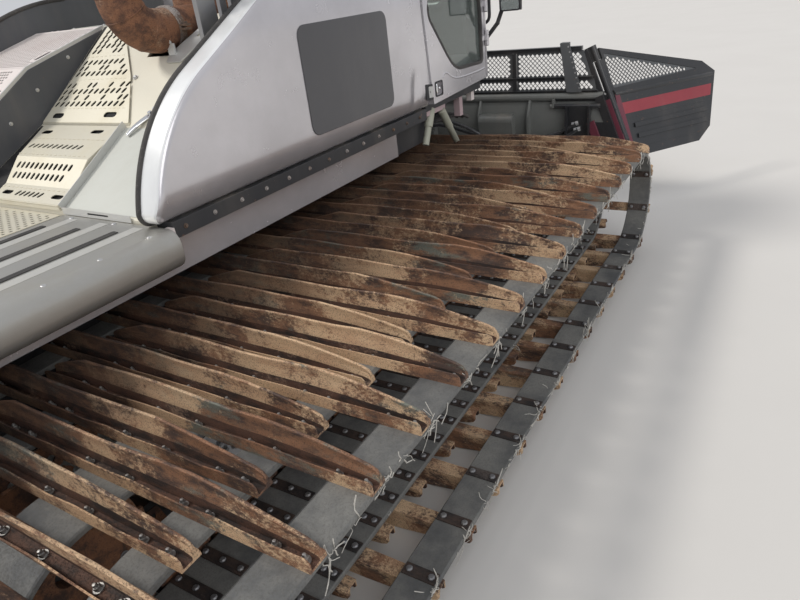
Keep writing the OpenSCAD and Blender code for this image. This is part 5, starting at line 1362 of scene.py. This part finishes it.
crease = [(x, 1.0502, z) for x,
          z in ((2.772, 1.200), (2.79, 1.219), (2.83, 1.218), (2.90, 1.184), (2.98, 1.167),
                (3.12, 1.161), (3.26, 1.160), (3.375, 1.164))]
crease = carried(arc((0, -0.0062), 0.0085, 20, 160, 6), smooth_path(crease, 5), (0, 1, 0))
for side, on in SIDES:
    body = "door_" + side
    put("window_seal_" + side, on(seal), body, hose_rubber, 50)
    put("handle_cup_" + side, on(frame_ring), body, black_plastic)
    put("handle_lever_" + side, on(joined(lever, key)), body, chrome_rod, 40)
    put("door_crease_" + side, on(crease), body, silver_paint, 50)
    head = joined(*[spool((3.394, 1.065, z), (0, 0, 1), (-0.004, -0.002, 0), (0.008, 0.012, 0.0125), 12)
                    for z in (1.30, 1.50)])
    put("hinge_caps_" + side, on(head), "chassis", black_plastic)

jamb = on_cab_side(panel([(2.552, 1.112), (2.634, 1.104), (2.634, 1.19), (2.552, 1.20)], 0.008, 3, 0.003),
                   1.0525)
striker = on_cab_side(slab(rounded([(2.582, 1.122), (2.630, 1.118), (2.630, 1.178), (2.582, 1.184)],
                                   0.006, 3),
                    [circle(0.006, 10)[::-1] + (2.596, 1.152)], 0.003), 1.0555)
put("jamb_frames", both(jamb), "chassis", black_plastic)
put("jamb_strikers", both(striker), "chassis", pale_aluminium)
glass_edge = rounded(oblong(1.135, 1.325, 1.655, 1.995), 0.02, 3)
small_edge = rounded(oblong(1.150, 1.270, 1.495, 1.595), 0.012, 3)
faces = joined(upright(slab(glass_edge, (), 0.002), 3.4372), upright(slab(small_edge, (), 0.002), 3.4392))
rims = joined(upright(slab(rounded(oblong(1.124, 1.336, 1.643, 2.007), 0.024, 3),
                           [glass_edge], 0.006), 3.4358),
              upright(slab(rounded(oblong(1.142, 1.278, 1.487, 1.603), 0.016, 3),
                           [small_edge], 0.006), 3.4378))
put("mirror_faces", both(faces), "chassis", mirror_glass)
put("mirror_rims", both(rims), "chassis", black_plastic)
loop = rounded(oblong(-1.00, -0.875, 1.415, 1.83), 0.055, 5)
guard = tube(np.stack([np.full(len(loop), 3.60), loop[:, 0], loop[:, 1]], -1), 0.011, 10, closed=True)
stems = joined(tube([(3.60, -0.862, 1.50), (3.60, -0.885, 1.50)], 0.010, 8),
               tube([(3.60, -0.862, 1.75), (3.60, -0.885, 1.75)], 0.010, 8))
put("front_guard_loops", both(joined(guard, stems)), "chassis", black_plastic, 50)
clamps = [spool((3.47, 1.145, z), (0, 0, 1), (-0.016, -0.014, 0.014, 0.016),
                (0.016, 0.018, 0.018, 0.016), 14)
          for z in (1.545, 1.73, 1.92)]
put("mirror_clamps", both(joined(*clamps)), "chassis", black_plastic, 40)
LAMP_YS = (0.35, 0.56, 0.77)
lens = [laid(panel(oblong(y - 0.07, y + 0.07, 2.772, 2.848), 0.012, 3, 0.004), (3.2945, 0, 0),
             (0, 1, 0), (0, 0, 1)) for y in LAMP_YS]
put("lamp_lenses", both(joined(*lens)), "chassis", lamp_glass)
bowls = [spool((3.290, y + s, 2.81), (-1, 0, 0), (-0.0008, 0, 0.002, 0.004),
               (0.032, 0.031, 0.02, 0.008), 20)
         for y in LAMP_YS for s in (-0.034, 0.034)]
put("lamp_bowls", both(joined(*bowls)), "chassis", chrome_rod, 40)
base = spool((2.8, 0, 2.76), (0, 0, 1), (0, 0.004, 0.022, 0.026), (0.072, 0.074, 0.070, 0.062), 32)
put("beacon_base", base, "chassis", black_plastic, 40)


def on_screen(y, z, off):
    """A place off the windscreen: it leans back 0.2925 for each metre up."""
    return (3.64 - (z - 1.62) * 0.2925 + off, y, z)


wipers = []
for y, lean in ((-0.52, 0.34), (0.10, 0.34)):
    foot, tip = on_screen(y, 1.66, 0.03), on_screen(y + lean * 0.8, 2.16, 0.035)
    wipers.append(tube(smooth_path([foot, on_screen(y + lean * 0.3, 1.85, 0.045), tip], 4), 0.006, 8))
    wipers.append(spool(np.array(foot) - (0.035, 0, 0.0), (0.96, 0, 0.28), (0, 0.03, 0.04),
                        (0.02, 0.02, 0.012), 14))
    wipers.append(carried([(-0.004, -0.016), (0.004, -0.016), (0.006, 0.0), (-0.006, 0.0)],
                          [on_screen(y + lean * 0.8 + d, 2.16 + 0.9 * d, 0.024) for d in (-0.24, 0, 0.24)],
                          (0.96, 0, 0.28)))
put("wipers", joined(*wipers), "chassis", black_plastic, 40)

# Cab's inside and underside
PAD_CORNERS = 28
pads = []
a = np.linspace(0, 2 * math.pi, PAD_CORNERS, endpoint=False)[None]
k = np.array([0.02, 0.5, 0.8, 0.95, 1.0, 0.97])[:, None]
fall = np.array([1.0, 0.96, 0.8, 0.5, 0.0, -0.6])[:, None]
c, s = np.cos(a), np.sin(a)
ring = np.arange(PAD_CORNERS)
for y in (-0.38, 0.38):
    for z, long, high, depth in ((2.02, 0.13, 0.075, 0.035), (1.84, 0.20, 0.10, 0.02),
                                 (1.62, 0.21, 0.11, 0.02)):
        grid = np.stack([2.912 + depth * fall + 0 * a, y + long * k * np.sign(c) * np.abs(c) ** 0.45,
                         z + high * k * np.sign(s) * np.abs(s) ** 0.45], -1)
        shape = surface(grid, False, True)
        pads.append(Shape(shape.points, *shape.faces, ring[None], ring[::-1][None] + 5 * PAD_CORNERS))
put("seat_pads", joined(*pads), "chassis", seat_cloth, 60)
arms = boxes(*[(2.9, 3.2, y - 0.035, y + 0.035, 1.60, 1.65) for y in (-0.66, -0.10, 0.10, 0.66)])
sticks = [tube(smooth_path([(3.16, y, 1.65), (3.17, y, 1.72), (3.19, y, 1.79)], 4), 0.012, 10)
          for y in (-0.66, -0.10)]
balls = [spool((3.19, y, 1.79), (0, 0, 1), (-0.02, -0.01, 0.01, 0.03, 0.04),
               (0.012, 0.022, 0.025, 0.02, 0.008), 14)
         for y in (-0.66, -0.10)]
put("seat_arms", joined(arms, *sticks, *balls), "chassis", black_plastic, 40, 0.008)
display = boxes((3.40, 3.42, -0.30, -0.05, 1.56, 1.73), (3.41, 3.43, -0.19, -0.16, 1.48, 1.56))
put("console_display", display, "chassis", dark_panel, bevel=0.004)
struts = []
for foot, end in (((2.735, -0.975, 1.036), (2.63, -0.975, 0.84)),
                  ((2.86, -0.975, 1.0), (3.045, -0.975, 0.76))):
    long = np.linalg.norm(np.array(end) - foot)
    struts.append(spool(foot, (np.array(end) - foot) / long, np.array((0, 0.01, 0.5, 0.51, 0.99, 1)) * long,
                        (0.020, 0.025, 0.025, 0.020, 0.020, 0.018), 14))
put("cab_struts", both(joined(*struts)), "chassis", olive_paint, 40)
# The mounts' pink tint is painted reflection
lugs = boxes((3.12, 3.165, -0.975, -0.93, 0.905, 1.031), (2.66, 2.90, -0.985, -0.965, 1.0, 1.031))
put("cab_mounts", both(lugs), "chassis", pink_reflection_paint, bevel=0.003)
put("cab_stop_blocks", both(boxes((3.315, 3.36, -0.97, -0.93, 0.965, 1.031))), "chassis", grip_pale,
    bevel=0.004)
lines = [tube(smooth_path([(2.75, y, 0.93), (3.0, y - 0.02, 0.90), (3.25, y + 0.02, 0.89),
                           (3.31, y + 0.06, 0.86)], 6),
              0.012, 10) for y in (0.80, 0.84, 0.88)]
put("cab_hoses", both(joined(*lines)), "chassis", hose_rubber, 50)

# Running gear: grooved tyres, dished rims with nuts, and bolts on the sprockets
WHEEL_GAP = 0.65927
WHEELS = [(WHEEL_GAP * i - SPROCKET_BACK, 0.3623, 0.262) for i in (1, 2, 3, 4)] + [(3.14635, 0.39, 0.2832)]
HALF_TYRE = 0.095


def tyre_profile(r):
    """Half-round shoulders, four grooves round the tread, and upright walls with a rib."""
    out = [(0.1655, -0.075), (0.20, -0.088), (0.205, -0.091), (0.212, -0.089), (r - 0.034, -HALF_TYRE),
           (r - 0.014, -0.0905), (r - 0.003, -0.078), (r, -0.066)]
    for a in (-0.045, -0.017, 0.011, 0.039):
        out += [(r, a), (r - 0.009, a + 0.001), (r - 0.009, a + 0.006), (r, a + 0.007)]
    return out + [(r, 0.066), (r - 0.003, 0.078), (r - 0.014, 0.0905), (r - 0.034, HALF_TYRE),
                  (0.212, 0.089),
                  (0.205, 0.091), (0.20, 0.088), (0.1655, 0.075)]


rim_profile = [(0.0385, -0.032), (0.072, -0.036), (0.098, -0.014), (0.143, -0.012), (0.150, -0.072),
               (0.1645, -0.074),
               (0.1645, 0.074), (0.150, 0.072), (0.143, 0.0), (0.098, 0.002), (0.072, 0.032),
               (0.0385, 0.032)]
tyres = joined(*[turned(tyre_profile(r)[::-1], 48, (x, WHEEL_Y, z)) for x, z, r in WHEELS])
rims = joined(*[turned(rim_profile[::-1], 40, (x, WHEEL_Y, z)) for x, z, r in WHEELS])
nut_ring = circle(0.057, 8)
nuts = []
for x, z, r in WHEELS:
    for y, way in ((WHEEL_Y + 0.0325, 1), (WHEEL_Y - 0.0345, -1)):
        spots = np.column_stack([nut_ring[:, 0] + x, np.full(8, y), nut_ring[:, 1] + z])
        nuts.append(studs(hexagon(0.009, 0.013, 0.002), spots, (0, way, 0)))
    nuts.append(spool((x, WHEEL_Y, z), (0, 1, 0), (0.034, 0.05, 0.056, 0.058),
                      (0.0405, 0.0405, 0.034, 0.02), 20))
sprocket_ring = circle(0.175, 12)
for y, way in ((WHEEL_Y + 0.078, 1), (WHEEL_Y - 0.078, -1)):
    spots = np.column_stack([sprocket_ring[:, 0] - SPROCKET_BACK, np.full(12, y),
                             sprocket_ring[:, 1] + 0.39])
    nuts.append(studs(hexagon(0.010, 0.010, 0.002), spots, (0, way, 0)))
put("tyres", both(tyres), "chassis", tyre_rubber, 40, replaces=["wheel_tyres"])
put("rims", both(rims), "chassis", rim_paint, 34, replaces=["wheel_rims"])
put("wheel_nuts", both(joined(*nuts)), "chassis", dull_zinc)

# Tiller: comb ribs, bolts and bands on the hood, and hoses on the arms
DROP = spin("Y", -22)
ROTOR_X, ROTOR_Z = -1.18, 0.33
rib = boxes((-0.352, -0.045, -0.006, 0.006, 0.0085, 0.0145),
            (-0.352, -0.045, -0.006, 0.006, -0.0145, -0.0085))
rib = rib.moved((-1.458, 0, 0.300), DROP)
put("comb_ribs", rib.repeated([(0, y, 0) for y in row(-2.03, 2.03, 83)]), "comb", comb_rubber)
hood_bolts = []
for angle in (30, 150):
    n = np.array([math.cos(math.radians(angle)), 0, math.sin(math.radians(angle))])
    spots = [(ROTOR_X + 0.262 * n[0], y, ROTOR_Z + 0.262 * n[2]) for y in row(-1.98, 1.98, 23)]
    hood_bolts.append(studs(hexagon(0.010, 0.008, 0.003), spots, n))
put("hood_bolts", joined(*hood_bolts), "tiller", dull_zinc)
edge_bar = [carried(oblong(-0.012, 0.012, -0.004, 0.008),
                    [(ROTOR_X + 0.2605 * math.cos(a), y, ROTOR_Z + 0.2605 * math.sin(a))
                     for y in (-2.04, 0, 2.04)],
                    (math.cos(a), 0, math.sin(a))) for a in np.radians([22, 90, 158])]
put("hood_bands", joined(*edge_bar), "tiller", black_paint, bevel=0.002)
arm_hoses = [tube(smooth_path([(-0.50, y, 0.545), (-0.62, y, 0.60), (-0.74, y, 0.655),
                               (-0.87, y, 0.69)], 6), 0.011, 10)
             for y in (0.255, 0.285)]
put("arm_hoses", both(joined(*arm_hoses)), "tiller_arm", hose_rubber, 50)

# Hood: louvred covers, panel seams and screws; roof hatch and gutters; seals of the front and rear glass
HOOD_Z = 1.685
SEAL = [(-0.014, -0.004), (0.014, -0.004), (0.014, 0.003), (0.008, 0.005), (-0.008, 0.005), (-0.014, 0.003)]
for name, x0, x1, y0, y1 in (("hood_louvres_left", 1.76, 2.40, 0.16, 0.80),
                             ("hood_louvres_right", 1.76, 2.40, -0.86, -0.56)):
    across = max(1, int((y1 - y0) / 0.27))
    wide = (y1 - y0 - 0.04) / across
    slots = [rounded(oblong(x - 0.007, x + 0.007, a, b), 0.005, 2)
             for x in np.arange(x0 + 0.05, x1 - 0.03, 0.034)
             for a, b in ((y0 + 0.02 + wide * k + 0.012, y0 + 0.02 + wide * (k + 1) - 0.012)
                          for k in range(across))]
    edge = rounded(oblong(x0, x1, y0, y1), 0.02, 4)
    put(name, slab(edge, slots, 0.003).moved((0, 0, HOOD_Z + 0.0042)), "chassis", pale_sheet)
    # A black sheet under the louvres: painted shadow
    put(name + "_painted_shadow", slab(edge * 0.98 + edge.mean(0) * 0.02, (),
                               0.0008).moved((0, 0, HOOD_Z + 0.0011)),
        "chassis", shadow_black)
    corners = [(x, y, HOOD_Z + 0.0042) for x in row(x0 + 0.018, x1 - 0.018, 4)
               for y in (y0 + 0.012, y1 - 0.012)]
    put(name + "_screws", studs(dome(0.007, 0.004, 10), corners, (0, 0, 1)), "chassis", zinc)
seam = boxes((1.695, 1.699, -0.90, 0.90, HOOD_Z + 0.0002, HOOD_Z + 0.0008),
             (2.47, 2.474, -0.90, 0.90, HOOD_Z + 0.0002, HOOD_Z + 0.0008),
             (1.70, 2.47, 0.076, 0.080, HOOD_Z + 0.0002, HOOD_Z + 0.0008))
put("hood_seams", seam, "chassis", shadow_black)
screws = [(x, y, HOOD_Z + 0.0002) for x in (1.68, 1.715, 2.455, 2.49) for y in row(-0.85, 0.85, 9)
          if not (x < 1.8 and -0.5 < y < 0.0)]
put("hood_screws", studs(dome(0.008, 0.004, 10), screws, (0, 0, 1)), "chassis", zinc)
hatch = rounded(oblong(2.90, 3.22, -0.30, 0.30), 0.05, 5)
hatch_lid = joined(slab(hatch, (), 0.008).moved((0, 0, 2.7685)),
                   slab(hatch * 0.86 + hatch.mean(0) * 0.14, (), 0.004).moved((0, 0, 2.7725)))
put("roof_hatch", hatch_lid, "chassis", silver_paint, bevel=0.002)
rim = np.column_stack([hatch, np.full(len(hatch), 2.763)])
put("hatch_seal", tube(rim[::-1], 0.007, 8, closed=True), "chassis", hose_rubber, 60)
gutters = [tube([(2.72, y, 2.7625), (3.24, y, 2.7625)], 0.008, 8) for y in (-0.84, 0.84)]
put("roof_gutters", joined(*gutters), "chassis", silver_paint, 60)
front = rounded([(-0.60, 1.585), (0.60, 1.585), (0.74, 1.64), (0.72, 2.56), (0.60, 2.61), (-0.60, 2.61),
                 (-0.72, 2.56), (-0.74, 1.64)], 0.04, 3)
front = np.array([on_screen(y, z, 0.0) for y, z in front])
lean = (0.96, 0, 0.28)
put("windscreen_seal", carried(SEAL, front[::-1], lean, True), "chassis", hose_rubber, 50)
rear = rounded([(-0.62, 1.83), (0.62, 1.83), (0.64, 2.50), (-0.64, 2.50)], 0.05, 4)
rear_seal = carried(SEAL, np.column_stack([np.full(len(rear), 2.6), rear]), (-1, 0, 0), True)
put("rear_window_seal", rear_seal, "chassis", hose_rubber, 50)

# Nose: a dark panel with slats, and two lamps
nose_up = (0.196, 0, 0.981)
nose_panel = panel(oblong(-0.46, 0.46, 0.0, 0.20), 0.03, 4, 0.005)
slats = [panel(oblong(-0.41, 0.41, z, z + 0.014), 0.006, 2, 0.004)
         for z in row(0.03, 0.156, 5)]
place = (3.6315, 0, 1.235)
put("nose_panel", laid(nose_panel, place, (0, 1, 0), nose_up), "chassis", dark_panel,
    bevel=0.0015)
put("nose_slats", laid(joined(*slats), np.array(place) + (0.0038, 0, -0.0008), (0, 1, 0), nose_up),
    "chassis",
    black_plastic, bevel=0.001)
nose_lamps = [spool((3.650, y, 1.34), (0.981, 0, -0.196), (-0.008, 0.006, 0.012, 0.013, 0.016),
                    (0.058, 0.058, 0.055, 0.048, 0.035), 28) for y in (-0.57, 0.57)]
put("nose_lamps", joined(*nose_lamps), "chassis", chrome_rod, 40)
nose_rings = [spool((3.650, y, 1.34), (0.981, 0, -0.196), (-0.008, 0.004, 0.008), (0.07, 0.07, 0.064), 28)
              for y in (-0.57, 0.57)]
put("nose_lamp_rings", joined(*nose_rings), "chassis", black_plastic, 40)

# Blade's face: a bolted cutting edge in six lengths, and weld beads
CURVE = (BLADE_X + 0.56, 0.57)
edge_section = np.concatenate([arc(CURVE, 0.606, 193, 200.4, 5), arc(CURVE, 0.598, 200.4, 193, 5)])
lengths = row(-1.71, 1.71, 7)
cutters = [prism(edge_section, a + 0.003, b - 0.003) for a, b in zip(lengths[:-1], lengths[1:])]
put("cutting_edges", joined(*cutters), "blade", rotor_steel, bevel=0.001)
way = np.array([math.cos(math.radians(196.6)), 0, math.sin(math.radians(196.6))])
cut_spots = [(CURVE[0] + 0.598 * way[0], a + d, CURVE[1] + 0.598 * way[2])
             for a in lengths[:-1] for d in (0.1, 0.285, 0.47)]
put("cutter_bolts", studs(dome(0.015, 0.008, 12), cut_spots, -way), "blade", bolt_steel)
bead_section = np.concatenate([arc(CURVE, 0.6065, 161, 193, 12), arc(CURVE, 0.6035, 193, 161, 12)])
beads = [prism(bead_section, y - 0.004, y + 0.004) for y in (-1.24, -0.62, 0.0, 0.62, 1.24)]
put("face_welds", joined(*beads), "blade", board_painted_sheen, bevel=0.001)

# Nodes that keep their CAD shape and get softened edges and a finish
KEPT = {
    "hull": (black_paint, 0.006), "platform": (silver_paint, 0.005),
    "engine_block": (engine_iron, 0.006), "wheel_arms": (black_paint, 0.003),
    "drive_sprockets": (guide_steel, 0.003), "pod_panels": (dark_panel, 0.002),
    "body_sills": (black_paint, 0.002), "engine_hood": (cream_sheet, 0.003),
    "rear_deck": (deck_aluminium, 0.003), "heat_shield": (shield_metal, 0.002),
    "cab_frame": (black_paint, 0.004), "cab_shell": (silver_paint, 0.006), "windscreen": (glass, 0),
    "rear_window": (glass, 0), "seats": (seat_cloth, 0.02), "console": (black_plastic, 0.01),
    "roof_lamps": (lamp_plastic, 0.01), "beacon": (amber_lens, 0.01), "mirrors": (black_plastic, 0.006),
    "door_left": (silver_paint, 0.004), "door_right": (silver_paint, 0.004),
    "door_glass_left": (glass, 0), "door_glass_right": (glass, 0),
    "blade_mount": (black_paint, 0.004), "lift_frame": (black_paint, 0.004),
    "blade_carrier": (black_paint, 0.004), "blade_head": (black_paint, 0.004),
    "blade_centre": (board_painted_sheen, 0.003),
    "lift_barrels": (black_paint, 0.002), "lift_rods": (chrome_rod, 0.001),
    "tiller_mount": (black_paint, 0.003), "tiller_arm": (black_paint, 0.004),
    "tiller_barrel": (black_paint, 0.002), "tiller_rod": (chrome_rod, 0.001),
    "tiller_hood": (black_paint, 0.003), "rotor": (rotor_steel, 0.003),
    "comb_flap": (comb_rubber, 0.003),
}
kept = {node: dressed(node, finish, bevel) for node, (finish, bevel) in KEPT.items()}


def darken_ends(piece, limit, finish):
    """The faces whose middles lie further out than the limit take a second material."""
    mesh = piece.data
    mesh.materials.append(finish)
    middles = np.empty(len(mesh.polygons) * 3, np.float32)
    mesh.polygons.foreach_get("center", middles)
    mesh.polygons.foreach_set("material_index", (np.abs(middles[1::3]) > limit).astype(np.int32))


# The board's middle keeps its grey of painted sheen; its ends take the blade's black paint
darken_ends(kept["blade_centre"], 1.28, blade_paint)

# Stage: a pale floor, a pale world and two soft sun lamps
floor_mesh = bpy.data.meshes.new("floor")
floor_mesh.from_pydata([(-60, -60, -0.002), (60, -60, -0.002), (60, 60, -0.002), (-60, 60, -0.002)],
                       [], [(0, 1, 2, 3)])
floor = bpy.data.objects.new("floor", floor_mesh)
bpy.context.scene.collection.objects.link(floor)
ground = Shader("pale_floor", 0.9, 0.0, Specular_IOR_Level=0.2)
ground.colour(ground.blend(ground.noise(0.8, 5, 0.6), (0.66, 0.64, 0.61), (0.72, 0.7, 0.67)))
floor_mesh.materials.append(ground.material)

world = bpy.data.worlds.new("studio")
world.use_nodes = True
world.node_tree.nodes["Background"].inputs["Color"].default_value = (0.93, 0.95, 1.0, 1)
world.node_tree.nodes["Background"].inputs["Strength"].default_value = 0.62
bpy.context.scene.world = world
bpy.context.scene.view_settings.view_transform = "Standard"


def lamp(name, energy, angle, aim, colour=(1, 1, 1)):
    """A sun lamp that shines from the place aim towards the origin."""
    data = bpy.data.lights.new(name, "SUN")
    data.energy, data.angle, data.color = energy, math.radians(angle), colour
    light = bpy.data.objects.new(name, data)
    light.rotation_euler = Vector(aim).to_track_quat("Z", "Y").to_euler()
    bpy.context.scene.collection.objects.link(light)


lamp("key", 1.5, 12, (-2.2, 3.2, 4.2), (1.0, 0.96, 0.9))
lamp("fill", 0.75, 40, (-3.0, -4.0, 3.0))

# Camera: solved from the track's bars, bolts and belts
YAW, PITCH_DOWN, ROLL = np.radians([33.66, 26.82, 7.0])
FOCAL_PX, PICTURE_PX, SENSOR_MM = 622.0, 800.0, 36.0
look = np.array([math.cos(YAW) * math.cos(PITCH_DOWN), math.sin(YAW) * math.cos(PITCH_DOWN),
                 -math.sin(PITCH_DOWN)])
right = np.array([math.sin(YAW), -math.cos(YAW), 0.0])
down = np.cross(look, right)
right, down = (math.cos(ROLL) * right + math.sin(ROLL) * down,
               math.cos(ROLL) * down - math.sin(ROLL) * right)
camera_data = bpy.data.cameras.new("camera")
camera_data.sensor_width = SENSOR_MM
camera_data.lens = FOCAL_PX * SENSOR_MM / PICTURE_PX
camera = bpy.data.objects.new("camera", camera_data)
pose = Matrix([list(right) + [0], list(-down) + [0], list(-look) + [0], [0, 0, 0, 1]]).transposed()
pose.translation = Vector((-0.624 + LONG_BAR, -2.822, 1.717))
camera.matrix_world = pose
camera_data.clip_start = 0.05
camera_data.clip_end = 200
bpy.context.scene.collection.objects.link(camera)
bpy.context.scene.camera = camera
